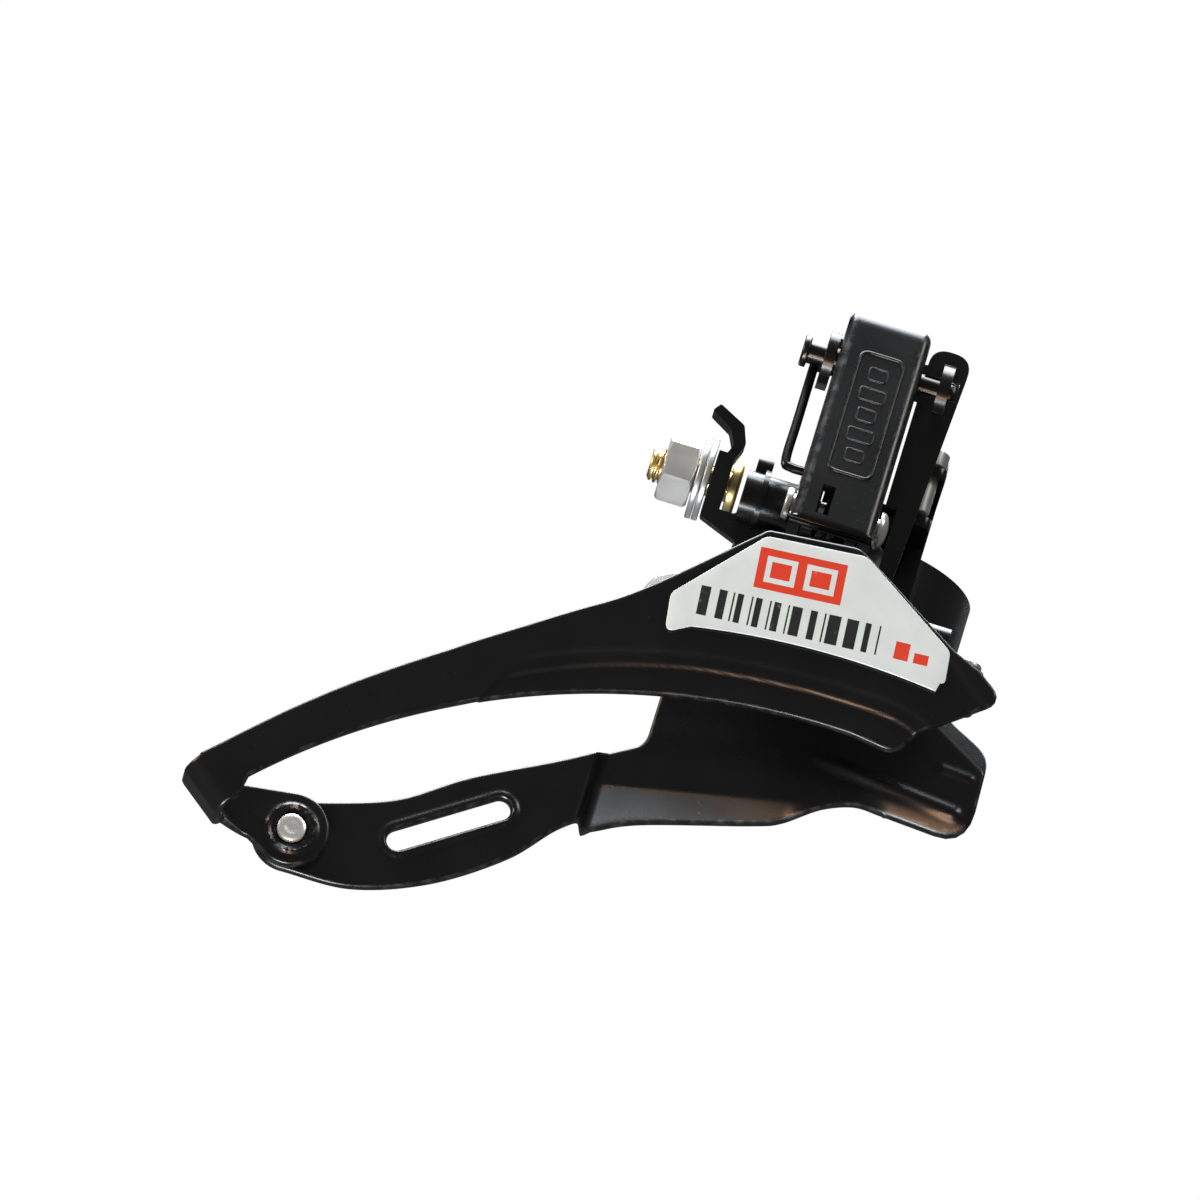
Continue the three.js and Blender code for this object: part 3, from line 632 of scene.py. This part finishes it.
# ---------------------------------------------------------------- geometry nodes
class Recipe:
    """A geometry node tree with named number inputs."""

    def __init__(self, name, inputs):
        self.group = bpy.data.node_groups.new(name, "GeometryNodeTree")
        face = self.group.interface
        face.new_socket(name="Geometry", in_out="INPUT", socket_type="NodeSocketGeometry")
        for title, start in inputs.items():
            kind = "NodeSocketInt" if isinstance(start, int) else "NodeSocketFloat"
            face.new_socket(name=title, in_out="INPUT", socket_type=kind).default_value = start
        face.new_socket(name="Geometry", in_out="OUTPUT", socket_type="NodeSocketGeometry")
        self.source = self.group.nodes.new("NodeGroupInput")
        self.inputs = {s.name: s for s in self.source.outputs}

    def node(self, kind, sockets=None, settings=None, out=0):
        made = self.group.nodes.new(kind)
        for key, value in (settings or {}).items():
            setattr(made, key, value)
        for key, value in (sockets or {}).items():
            if isinstance(value, bpy.types.NodeSocket):
                self.group.links.new(value, made.inputs[key])
            else:
                made.inputs[key].default_value = value
        return made.outputs[out]

    def end(self, geometry, material):
        solid = self.node("GeometryNodeRealizeInstances", {0: geometry})
        painted = self.node("GeometryNodeSetMaterial", {"Geometry": solid, "Material": material})
        output = self.group.nodes.new("NodeGroupOutput")
        self.group.links.new(painted, output.inputs[0])

    def make(self, name, source, values):
        """The plain mesh that the tree makes from `source` with these input values."""
        holder = bpy.data.objects.new(name + "_source", source)
        bpy.context.scene.collection.objects.link(holder)
        step = holder.modifiers.new("recipe", "NODES")
        step.node_group = self.group
        for socket in self.group.interface.items_tree:
            if socket.in_out == "INPUT" and socket.name in values:
                step[socket.identifier] = values[socket.name]
        ready = bpy.context.evaluated_depsgraph_get()
        mesh = bpy.data.meshes.new_from_object(holder.evaluated_get(ready))
        mesh.name = name
        holder.modifiers.clear()
        bpy.data.objects.remove(holder)
        return mesh


def wire_recipe(material):
    """Round wire along a curve."""
    recipe = Recipe("round wire", {"Wire radius": 0.0006, "Run": 0.0003, "Sides": 14})
    along = {"Curve": recipe.inputs["Geometry"], "Length": recipe.inputs["Run"]}
    even = recipe.node("GeometryNodeResampleCurve", along, {"mode": "LENGTH"})
    ring = recipe.node("GeometryNodeCurvePrimitiveCircle",
                       {"Resolution": recipe.inputs["Sides"], "Radius": recipe.inputs["Wire radius"]})
    tube = recipe.node("GeometryNodeCurveToMesh", {"Curve": even, "Profile Curve": ring, "Fill Caps": True})
    recipe.end(tube, material)
    return recipe


def thread_recipe(material):
    """A screw thread along Z: one ridge that climbs round a core."""
    inputs = {"Radius": 0.0022, "Pitch": 0.0007, "Turns": 4.0, "Ridge": 0.0002}
    recipe = Recipe("screw thread", inputs)
    height = recipe.node("ShaderNodeMath", {0: recipe.inputs["Pitch"], 1: recipe.inputs["Turns"]},
                         {"operation": "MULTIPLY"})
    helix = recipe.node("GeometryNodeCurveSpiral", {
        "Resolution": 40, "Rotations": recipe.inputs["Turns"], "Start Radius": recipe.inputs["Radius"],
        "End Radius": recipe.inputs["Radius"], "Height": height})
    ring = recipe.node("GeometryNodeCurvePrimitiveCircle",
                       {"Resolution": 6, "Radius": recipe.inputs["Ridge"]})
    tube = recipe.node("GeometryNodeCurveToMesh", {"Curve": helix, "Profile Curve": ring, "Fill Caps": True})
    recipe.end(tube, material)
    return recipe


def path_curve(name, points):
    curve = bpy.data.curves.new(name, "CURVE")
    curve.dimensions = "3D"
    run = curve.splines.new("POLY")
    run.points.add(len(points) - 1)
    for point, at in zip(run.points, points):
        point.co = (*(Vector(at) * MM), 1)
    return curve


# ---------------------------------------------------------------- mechanism frame
LEAN = -0.2178                 # how far the links lean about X at rest, radians
LOW_OUT = Vector((0, *middle("pin_outer_low")[1:]))


LINK_FACE = -5.2               # outboard face of the outer link, from its pivot line
LINK_SIDES = (-10.1, 0.9)      # outer faces of its two cheeks


def on_link(foot, point):
    """A point drawn on an upright link, moved to where the link stands."""
    return Matrix.Rotation(LEAN, 4, "X") @ Vector(point) + foot


def from_link(foot, point):
    return Matrix.Rotation(-LEAN, 4, "X") @ (Vector(point) - foot)


# ---------------------------------------------------------------- cage, outer plate
OUTER_Y = span("rivet_outer_plate_1", 1)[0] - 0.05
SHEET = 1.5
RIVET_HOLE_R = 1.6             # holes for the cage rivets and for the tail rivet
TAIL_HOLE_R = 2.15
TAIL_END_R = 4.9               # round ends of both plates at the tail rivet
RING_AT = (2, -125)            # centre of the chainring in X, Z
EDGE_R = 95
TAIL_RIVET = tuple(middle("tail_rivet")[i] for i in (0, 2))
FOLD_FROM = Vector((-75.2, -60.5))
FOLD_TO = Vector((-69.3, -65.2))
FOLD_ALONG = (FOLD_TO - FOLD_FROM).normalized()
FOLD_OUT = Vector((FOLD_ALONG.y, -FOLD_ALONG.x))
FOLD_R = 3.0
TAB_Y = -35.3                  # inboard face of the folded tab
WEB = TAB_Y - OUTER_Y - 2 * FOLD_R
BEND = math.pi * FOLD_R / 2
STEP = 0.42                    # depth of the stepped strip
GRID = 0.32                    # mesh size of both plates


def ring_angle(radius, x):
    return math.degrees(math.acos((x - RING_AT[0]) / radius))


def fold_to_space(points, height):
    """Flat outer-plate pattern to space: plate, bend, web, bend, tab."""
    points = np.asarray(points, float)
    away = points - np.array(FOLD_FROM)
    p = away @ np.array(FOLD_ALONG)
    q = away @ np.array(FOLD_OUT)
    n = np.broadcast_to(height, q.shape)
    q1, q2 = -FOLD_R + BEND, -FOLD_R + BEND + WEB
    q3 = q2 + BEND
    a1 = np.clip((q + FOLD_R) / FOLD_R, 0, math.pi / 2)
    a2 = np.clip((q - q2) / FOLD_R, 0, math.pi / 2)
    s = np.select([q <= -FOLD_R, q <= q1, q <= q2, q <= q3],
                  [q, -FOLD_R + (FOLD_R + n) * np.sin(a1), n, -FOLD_R + (FOLD_R + n) * np.cos(a2)],
                  -FOLD_R - (q - q3))
    y = np.select([q <= -FOLD_R, q <= q1, q <= q2, q <= q3],
                  [OUTER_Y - n, OUTER_Y + FOLD_R - (FOLD_R + n) * np.cos(a1), OUTER_Y + FOLD_R + (q - q1),
                   TAB_Y - FOLD_R + (FOLD_R + n) * np.sin(a2)],
                  TAB_Y + n)
    flat = np.array(FOLD_FROM) + p[:, None] * np.array(FOLD_ALONG) + s[:, None] * np.array(FOLD_OUT)
    return np.stack([flat[:, 0], y, flat[:, 1]], 1)


def unfolded(x, z):
    """Where a point of the tab lies in the flat pattern."""
    away = Vector((x, z)) - FOLD_FROM
    p, s = away.dot(FOLD_ALONG), away.dot(FOLD_OUT)
    q = -FOLD_R + 2 * BEND + WEB - FOLD_R - s
    return tuple(FOLD_FROM + p * FOLD_ALONG + q * FOLD_OUT)


def outer_outline():
    top = [(-73.4, -58.3), *spline([(-73.3, -58.2), (-62.8, -47.8), (-52.3, -39), (-34.7, -26.2),
                                    (-25.7, -19.7), (-13.4, -8)])]
    brow = rounded([(-13.4, -8, 0), (-12.2, -6.85, 1.4), (-0.2, -5.6, 3), (15, -15.2, 3), (18.8, -16.8, 2),
                    (23.0, -19.8, 3.4), (13.6, -27.4, 2.5), (11.6, -30.9, 3), (6.6, -30.2, 0)])[1:]
    lower = arc(RING_AT, EDGE_R, ring_angle(EDGE_R, 5.2), ring_angle(EDGE_R, -66.6), 60)
    tab = [unfolded(*p) for p in [(-68.6, -64.0), (-64.6, -64.6)]]
    tab += [unfolded(*p) for p in arc(TAIL_RIVET, TAIL_END_R, -108, 96, 22)]
    tab += [unfolded(*p) for p in [(-66.8, -58), (-71.2, -59.7)]]
    width = (FOLD_TO - FOLD_FROM).length
    side_low = [tuple(FOLD_FROM + FOLD_ALONG * (width - 0.2) + FOLD_OUT * q) for q in (-2.6, 1.7, 5.5)]
    side_top = [tuple(FOLD_FROM + FOLD_ALONG * 0.2 + FOLD_OUT * q) for q in (5.5, 1.7, -2.4)]
    return [*top, *brow, *lower, (-67.2, -62.6), *side_low, *tab, *side_top]


STRIP_TOP = [(-40.6, -38.9), (-39.6, -37), (-37.4, -35.4), (-28.2, -31.2), (-18, -28.2), (-9.5, -26.9),
             (-0.8, -26.2), (8.1, -26.3), (12.0, -27.0), (14.6, -28.4)]


def outer_lift(points):
    """The stepped strip along the lower edge, a bead above it and the bulge at its front end."""
    points = np.asarray(points)
    line = spline(STRIP_TOP, 8)
    far = distance_to(points, line)
    fence = [*line, (16, -40), (-43, -50), (-41.6, -41)]
    below = inside(points, [fence])
    signed = np.where(below, far, -far)
    step = ease(signed, -0.25, 0.45)
    bead = ridge(np.abs(signed + 1.3), 1.1) * ease(points[:, 0], -40, -35)
    lip = ridge(distance_to(points, [(14.8, -17.6), (19.8, -21.6)]), 1.6)
    shoulder = ease(points[:, 0] + points[:, 1] * 0.35, -59.5, -54.5)
    return 0.3 * shoulder + 0.14 * bead - STEP * step + 0.14 * lip - 0.3


def tab_lift(points):
    """Rings embossed round the tail rivet; the tab's seen face is the sheet's inner one."""
    centre = np.array(unfolded(*TAIL_RIVET))
    away = np.linalg.norm(np.asarray(points) - centre, axis=1)
    return -0.35 * ridge(np.abs(away - 3.1), 0.55) - 0.25 * ease(2.5 - away, 0, 0.4)


def round_hole(at, radius, steps=32):
    return arc(at, radius, 0, 360, steps)[:-1]


def outer_plate():
    names = ["rivet_outer_plate_1", "rivet_outer_plate_2"]
    holes = [round_hole((middle(n)[0], middle(n)[2]), RIVET_HOLE_R) for n in names]
    holes.append([unfolded(*p) for p in round_hole(TAIL_RIVET, TAIL_HOLE_R)])
    mesh = sheet("outer_plate", [outer_outline(), *holes], SHEET,
                 lambda p: outer_lift(p) + tab_lift(p), fold_to_space, GRID, 0.36)
    finished("outer_plate", mesh, "cage_outer_plate", "black_satin")


# ---------------------------------------------------------------- cage, inner plate
INNER_Y = -33.0
TAIL_Y = -35.0
SLOT_ENDS = ((-46.1, -58.4), (-34.7, -50.4))
SLOT_R = 1.4
INNER_LOWER = [(12.5, -34.8), (8.8, -35), (5, -36.5), (0.5, -39.5), (-3.5, -41), (-17, -44.8), (-22.8, -47.2)]
FLANGE_LINE = ((-24.2, -42.3), (3.5, -36.0))   # bend at the top of the lower flange


def inner_outline():
    tail = arc(TAIL_RIVET, TAIL_END_R, -90, -270, 24)
    top = spline([(-59.5, -57), (-55.9, -56.2), (-47.5, -53), (-39.6, -47.4), (-29.3, -41.6),
                  (-22.9, -37.6)])[1:]
    front = rounded([(-22.9, -37.6, 0), (-19.3, -35.4, 2.6), (-19.2, -22, 3), (-12.9, -8.8, 2.4), (9, -9, 2),
                     (17.8, -19.8, 2), (23.4, -22.4, 4), (23.9, -35.4, 4), (12.5, -34.8, 1)])[1:]
    low = spline(INNER_LOWER)
    rear = spline([(-22.8, -47.2), (-27, -50.6), (-32, -56.4), (-40.5, -62.6), (-50.1, -66.4),
                   (-59.5, -66.8)])[1:]
    return [*tail, *top, *front, *low, *rear]


def capsule(ends, radius, steps=14):
    a, b = Vector(ends[0]), Vector(ends[1])
    turn = math.degrees(math.atan2(b.y - a.y, b.x - a.x))
    return [*arc(a, radius, turn + 90, turn + 270, steps), *arc(b, radius, turn - 90, turn + 90, steps)]


def ramp(depth, slope, soft=0.5):
    """A face that leans away by `slope` past a softly rounded bend."""
    depth = np.maximum(depth, 0)
    return slope * (np.sqrt(depth ** 2 + soft ** 2) - soft)


def inner_lift(points):
    """Height towards the outer plate: joggle, lower flange, rolled slot, front ribs and rims."""
    points = np.asarray(points)
    x, z = points[:, 0], points[:, 1]
    joggle = -(INNER_Y - TAIL_Y) * ease(x, -25.4, -23.2)
    (x0, z0), (x1, z1) = FLANGE_LINE
    below = z0 + (x - x0) * (z1 - z0) / (x1 - x0) - z
    reach = ease(x, -24.8, -23.8) * (1 - ease(x, 0, 6))
    flange = -ramp(below, 0.95 - 0.016 * (x - x0)) * reach
    foot = -ramp(-32.6 - z, 0.55) * ease(x, 8, 13)
    inside_top = -((x - 17.8) * 0.5 + (z + 19.8) * 0.866)
    brow = -ramp(2.7 - inside_top, 0.8) * ease(x, 11, 14)
    slot = distance_to(points, SLOT_ENDS)
    rolled = 0.3 * ridge(np.abs(slot - 1.95), 0.75)
    crease = ridge(distance_to(points, [(0, -30.1), (21, -32.1)]), 1.4) * ease(x, -1, 9)
    short = ridge(distance_to(points, [(18.3, -26.9), (21.7, -27.1)]), 1.1)
    dish = -0.35 * ridge(np.linalg.norm(points - np.array(TAIL_RIVET), axis=1), 4.4)
    return joggle + flange + foot + brow + rolled + 0.42 * crease + 0.3 * short + dish


def inner_to_space(points, height):
    points = np.asarray(points)
    return np.stack([points[:, 0], TAIL_Y - np.broadcast_to(height, len(points)), points[:, 1]], 1)


def inner_plate():
    names = ["rivet_inner_plate_1", "rivet_inner_plate_2", "rivet_carrier_1", "rivet_carrier_2"]
    holes = [round_hole((middle(n)[0], middle(n)[2]), RIVET_HOLE_R) for n in names]
    holes += [capsule(SLOT_ENDS, SLOT_R), round_hole(TAIL_RIVET, TAIL_HOLE_R)]
    mesh = sheet("inner_plate", [inner_outline(), *holes], SHEET, inner_lift, inner_to_space, GRID, 0.4)
    finished("inner_plate", mesh, "cage_inner_plate", "black_satin")


# ---------------------------------------------------------------- label
def label():
    low, high = span("label", 1)
    radius = 104.2
    loop = rounded([(15.1, -20.2, 0.6), (14.6, -15.8, 1.6), (0.9, -6.7, 2), (-12.2, -8, 1.6),
                    (-21.9, -19.2, 1.6), (-21.2, -24.6, 1.6), (-18.6, -23.0, 0)])[:-1]
    loop += arc(RING_AT, radius, ring_angle(radius, -18.2), ring_angle(radius, 14.2), 24)

    def to_space(points, height):
        points = np.asarray(points)
        return np.stack([points[:, 0], low - np.broadcast_to(height, len(points)), points[:, 1]], 1)

    mesh = sheet("label", [loop], high - low, lambda p: np.zeros(len(p)), to_space, 1.2, 0.08)
    finished("label", mesh, "label", "printed_film")


# ---------------------------------------------------------------- links and body
def bend_edge(foot):
    """Picks the edges where a link's outboard face meets its cheeks."""
    def wanted(edge):
        if not is_sharp(edge):
            return False
        ends = [from_link(foot, v.co / MM) for v in edge.verts]
        sideways = [abs(f.normal.x) > 0.9 for f in edge.link_faces]
        if sum(sideways) != 1:
            return False
        outer = [f for f, s in zip(edge.link_faces, sideways) if not s][0]
        normal = Matrix.Rotation(-LEAN, 3, "X") @ outer.normal
        rim = all(min(abs(e.x - side) for side in LINK_SIDES) < 0.02 for e in ends)
        return rim and (normal.y < -0.05 or normal.z > 0.3) and all(e.z > -4.6 for e in ends)
    return wanted


def stamped_frame(foot, face):
    """A raised rounded frame with plain bars inside, stamped in the outer link's face."""
    shape = bmesh.new()
    layer = shape.loops.layers.float.new("edge")

    def rib(loop, half, height):
        count = len(loop)
        outer, crest, inner = inset(loop, -half), np.array(loop), inset(loop, half)
        rows = []
        for points, y in ((outer, 0.06), (crest, -height), (inner, 0.06)):
            rows.append([shape.verts.new(on_link(foot, (x, face + y, z)) * MM) for x, z in points])
        for a, b in ((0, 1), (1, 2), (2, 0)):
            for i in range(count):
                k = (i + 1) % count
                made = shape.faces.new((rows[a][i], rows[a][k], rows[b][k], rows[b][i]))
                for corner in made.loops:
                    corner[layer] = 0.6

    border = rounded([(-7.4, 3.6, 1.2), (-1.6, 3.6, 1.2), (-1.6, 22.4, 1.2), (-7.4, 22.4, 1.2)])
    rib(spaced(border, 1.0), 0.34, 0.2)
    for k in range(5):
        low = 5.6 + 3.2 * k
        wide = 1.7 if k % 2 else 1.2
        left, right, high = -4.5 - wide, -4.5 + wide, low + 1.9
        mark = rounded([(left, low, 0.3), (right, low, 0.3), (right, high, 0.3), (left, high, 0.3)], 2)
        rib(spaced(mark, 0.8), 0.2, 0.12)
    bmesh.ops.recalc_face_normals(shape, faces=shape.faces)
    mesh = mesh_from(shape, "link_stamping")
    mesh.materials.append(BLACK)
    mesh.shade_smooth()
    piece = bpy.data.objects.new("link_stamping", mesh)
    bpy.context.scene.collection.objects.link(piece)
    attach(piece, BODY_OF["outer_link"])


def sheet_parts():
    pressed("clamp_saddle_band", "clamp_saddle")
    pressed("clamp_strap_band", "clamp_strap")
    pressed("fixed_body_pressing", "fixed_body")
    pressed("outer_link_pressing", "outer_link", wide=bend_edge(LOW_OUT), wide_width=1.25)
    pressed("inner_link_pressing", "inner_link")
    pressed("cage_carrier_pressing", "cage_carrier", width=0.3)
    pressed("cage_bridge_channel", "cage_bridge")
    stamped_frame(LOW_OUT, LINK_FACE)


# ---------------------------------------------------------------- pins, rivets and screws
def domed_pin(name, node, head, shank, tail, neck, slot="bright_pin"):
    """A link pin along X: flat riveted tail at the back and a domed head in front."""
    low, high = span(node, 0)
    rows = profile([(tail, low, 0.35), (tail, low + 0.9, 0.15)])
    rows += [(shank, low + 0.95), (shank, neck), (head, neck + 0.02)]
    dome = high - neck
    rows += [(head * math.cos(a), neck + 0.25 + (dome - 0.25) * math.sin(a))
             for a in np.radians(np.linspace(8, 86, 9))]
    rows = [(0, low), *rows, (0, high)]
    finished(name, revolve(name, rows, "X", middle(node)), node, slot)


def pins():
    domed_pin("lower_outer_pin", "pin_outer_low", 2.5, 1.5, 2.1, 1.2)
    domed_pin("lower_inner_pin", "pin_inner_low", 1.7, 1.5, 2.1, 1.2)
    domed_pin("upper_inner_pin", "pin_inner_up", 3.0, 1.5, 2.1, 5.2, "black_satin")
    low, high = span("pin_outer_up", 0)
    rows = [(0, low), *profile([(2.1, low, 0.35), (2.1, low + 0.9, 0.15)]), (1.5, low + 0.95),
            *profile([(1.5, high - 0.4, 0), (1.5, high, 0.3)]), (0, high)]
    finished("upper_outer_pin", revolve("upper_outer_pin", rows, "X", middle("pin_outer_up")), "pin_outer_up",
             "black_satin")


def rivets():
    for i in (1, 2):
        riveted(f"outer_plate_rivet_{i}", f"rivet_outer_plate_{i}", 1.3, 0, 2.1)
        riveted(f"inner_plate_rivet_{i}", f"rivet_inner_plate_{i}", 1.3, 2.1, 2.1)
        riveted(f"carrier_rivet_{i}", f"rivet_carrier_{i}", 1.3, 2.1, 2.1)
        riveted(f"body_rivet_head_{i}", f"body_rivet_{i}", 1.4, 2.0, 0, thick=1.1)
    low, high = span("tail_rivet", 1)
    rows = [(0, low + 0.12), (0.7, low + 0.12), (0.9, low), (1.45, low), (1.8, low + 0.2), (1.85, low + 0.5),
            (1.85, high - 0.8), (3, high - 0.8), (3, high - 0.3), (2.6, high), (0, high)]
    turned = revolve("tail_rivet_pin", rows, "Y", middle("tail_rivet"))
    finished("tail_rivet_pin", turned, "tail_rivet", "bright_pin")


def anchor():
    """Cable bolt with its thread, two washers and a chamfered nut."""
    at = middle("anchor_bolt")
    low, high = span("anchor_bolt", 0)
    head = high - 1.4
    rows = [(0, low), *profile([(1.75, low, 0.1), (2.12, low + 0.35, 0.1)]), (2.12, head), (3.6, head),
            *profile([(3.6, head + 0.05, 0.05), (3.6, high, 0.5)]), (0, high)]
    core = revolve("cable_bolt", rows, "X", at)
    turns = 9
    pitch = (head - low - 4.5) / turns
    thread = thread_recipe(YELLOW).make(
        "cable_bolt_thread", bpy.data.meshes.new("empty"),
        {"Radius": 2.14 * MM, "Pitch": pitch * MM, "Turns": float(turns), "Ridge": 0.25 * MM})
    start = Vector((low + 0.45, at.y, at.z)) * MM
    thread.transform(Matrix.Translation(start) @ Matrix.Rotation(math.pi / 2, 4, "Y"))
    both = bmesh.new()
    both.from_mesh(core)
    both.from_mesh(thread)
    finished("cable_bolt", mesh_from(both, "cable_bolt"), "anchor_bolt", "yellow_zinc", 60)
    washer("cable_washer_1", "anchor_washer_1", "zinc_plated", 2.75)
    washer("cable_washer_2", "anchor_washer_2", "zinc_plated", 2.75)
    low, high = span("anchor_nut", 0)
    flat = 4.62 * math.cos(math.pi / 6)
    nut = revolve("cable_nut", hex_rows(flat, 2.7, low, high), "X", middle("anchor_nut"), 72, True)
    finished("cable_nut", nut, "anchor_nut", "bright_pin", 28)


def clamp_hardware():
    turn = math.radians(160)
    u = Vector((math.cos(turn), math.sin(turn), 0))
    w = Vector((-math.sin(turn), math.cos(turn), 0))
    frame_axes = (u, Vector((0, 0, 1)), w)
    at = u * 20.6 + Vector((0, 0, (span("clamp_saddle", 2)[0]) / 2))
    face = 0.9 + 1.6 + 0.3
    head = face + 3.8
    rows = [(0, -face - 4.7), *profile([(2.1, -face - 4.7, 0.1), (2.4, -face - 4.3, 0.1)]), (2.4, face),
            *profile([(4.2, face, 0.1), (4.2, head, 0.5), (2.4, head, 0.15)]),
            (2.3, head - 2.4), (0, head - 2.4)]
    finished("clamp_screw", revolve("clamp_screw", rows, frame_axes, at), "clamp_bolt", "zinc_plated")
    low = -face - 0.9
    rows = profile([(2.7, low, 0.1), (4.6, low, 0.15), (4.6, -face, 0.15), (2.7, -face, 0.1)], True)
    disc = revolve("clamp_screw_washer", rows, frame_axes, at, closed=True)
    finished("clamp_screw_washer", disc, "clamp_washer", "zinc_plated")
    low = low - 0.3 - 3.2
    flat = 4.6 * math.cos(math.pi / 6)
    nut = revolve("clamp_screw_nut", hex_rows(flat, 2.65, low, low + 3.2), frame_axes, at, 72, True)
    finished("clamp_screw_nut", nut, "clamp_nut", "zinc_plated", 28)
    low, high = span("clamp_hinge_pin", 2)
    rows = [(0, low), *profile([(0.85, low, 0.2), (0.85, high - 0.8, 0)]), *profile([(1.7, high - 0.8, 0.1),
            (1.7, high, 0.35)]), (0, high)]
    turned = revolve("hinge_pin", rows, "Z", middle("clamp_hinge_pin"))
    finished("hinge_pin", turned, "clamp_hinge_pin", "zinc_plated")


def limit_screws():
    for name in ("limit_screw_low", "limit_screw_high"):
        pressed(name + "_slotted", name, "zinc_plated", 0.18)


# ---------------------------------------------------------------- return spring
def spring_path():
    start, turns, steps, pitch, coil = -3.4, 2, 40, 1.34, 2.55
    points = [(start, 2.9, -4.4), (start, 2.65, -2)]
    for i in range(turns * steps + 1):
        angle = 2 * math.pi * i / steps
        points.append((start - i / steps * pitch, coil * math.cos(angle), coil * math.sin(angle)))
    leg = [(-6.1, 2.4, 3), (-6.2, 1.9, 5.1), (-7.3, 1.6, 6.2), (-8.8, 1.6, 6.4), (-11.8, 1.6, 6.4),
           (-12.7, 1.7, 7.4), (-12.72, 2, 14), (-12.72, 2.3, 24)]
    return [on_link(LOW_OUT, p) for p in spline(points[:2], 6) + points[2:] + spline(leg, 10)]


def return_spring():
    mesh = wire_recipe(BLACK).make("spring_wire", path_curve("spring_path", spring_path()),
                                   {"Wire radius": 0.62 * MM, "Run": 0.25 * MM, "Sides": 16})
    finished("spring_wire", mesh, "return_spring", "black_satin", 60)


outer_plate()
inner_plate()
label()
sheet_parts()
pins()
rivets()
anchor()
clamp_hardware()
limit_screws()
return_spring()


# ---------------------------------------------------------------- camera, light and floor
VIEW_BACK = Vector((0, -math.cos(math.radians(20)), -math.sin(math.radians(20))))
VIEW_UP = Vector((0, -math.sin(math.radians(20)), math.cos(math.radians(20))))
ROLL = math.radians(17)
AIM = Vector((-30.3, -40.0, -21.0)) * MM
FRAME_WIDTH = 153.85 * MM
LENS, SENSOR = 1000, 36


def camera():
    data = bpy.data.cameras.new("camera")
    data.lens, data.sensor_width = LENS, SENSOR
    right = Vector((1, 0, 0)) * math.cos(ROLL) + VIEW_UP * math.sin(ROLL)
    up = VIEW_UP * math.cos(ROLL) - Vector((1, 0, 0)) * math.sin(ROLL)
    distance = FRAME_WIDTH * LENS / SENSOR
    turn = Matrix((right, up, VIEW_BACK)).transposed()
    data.clip_start, data.clip_end = 0.1, 100
    cam = bpy.data.objects.new("camera", data)
    cam.matrix_world = Matrix.Translation(AIM + VIEW_BACK * distance) @ turn.to_4x4()
    bpy.context.scene.collection.objects.link(cam)
    bpy.context.scene.camera = cam


def soft_light(name, towards, distance, size, power, colour):
    """A square soft box that faces the middle of the object."""
    data = bpy.data.lights.new(name, "AREA")
    data.shape = "SQUARE"
    data.size, data.energy, data.color = size, power, colour
    lamp = bpy.data.objects.new(name, data)
    way = Vector(towards).normalized()
    lamp.location = AIM + way * distance
    lamp.rotation_mode = "QUATERNION"
    lamp.rotation_quaternion = way.to_track_quat("Z", "Y")
    bpy.context.scene.collection.objects.link(lamp)


def studio():
    soft_light("sky box", (-0.2, 0.05, 1.0), 0.6, 0.5, 15.0, (0.88, 0.94, 1.0))
    soft_light("warm side", (-1.0, -0.35, 0.15), 0.7, 0.3, 4.0, (1.0, 0.84, 0.68))
    soft_light("front fill", (0.9, -0.75, 1.0), 0.9, 0.3, 2.5, (1.0, 0.98, 0.95))
    soft_light("table glow", (-0.1, -0.42, -0.92), 0.6, 0.2, 6.0, (0.88, 0.94, 1.0))
    soft_light("wood glow", (0.05, -0.74, -0.68), 0.6, 0.08, 0.7, (1.0, 0.55, 0.28))
    soft_light("rear top", (0.2, 1.0, 0.9), 0.8, 0.5, 4.0, (0.95, 0.97, 1.0))
    world = bpy.data.worlds.new("studio")
    world.use_nodes = True
    bpy.context.scene.world = world
    nodes, links = world.node_tree.nodes, world.node_tree.links
    nodes.clear()
    room = nodes.new("ShaderNodeBackground")
    room.inputs["Color"].default_value = (1, 1, 1, 1)
    room.inputs["Strength"].default_value = 0.11
    paper = nodes.new("ShaderNodeBackground")
    paper.inputs["Color"].default_value = (1, 1, 1, 1)
    paper.inputs["Strength"].default_value = 1.0
    seen = nodes.new("ShaderNodeLightPath")
    pick = nodes.new("ShaderNodeMixShader")
    output = nodes.new("ShaderNodeOutputWorld")
    links.new(seen.outputs["Is Camera Ray"], pick.inputs[0])
    links.new(room.outputs[0], pick.inputs[1])
    links.new(paper.outputs[0], pick.inputs[2])
    links.new(pick.outputs[0], output.inputs[0])


def floor():
    size, drop = 40, -2.2
    mesh = bpy.data.meshes.new("floor")
    corners = [(x * size, y * size, drop) for x, y in ((-1, -1), (1, -1), (1, 1), (-1, 1))]
    mesh.from_pydata(corners, [], [(0, 1, 2, 3)])
    pale = Finish("pale floor")
    tone = pale.mix(pale.noise(4000, 2), (0.80, 0.80, 0.79), (0.84, 0.84, 0.83))
    mesh.materials.append(pale.set(Base_Color=tone, Roughness=0.8))
    piece = bpy.data.objects.new("floor", mesh)
    bpy.context.scene.collection.objects.link(piece)


camera()
studio()
floor()
bpy.context.scene.view_settings.view_transform = "Standard"

bpy.context.view_layer.update()
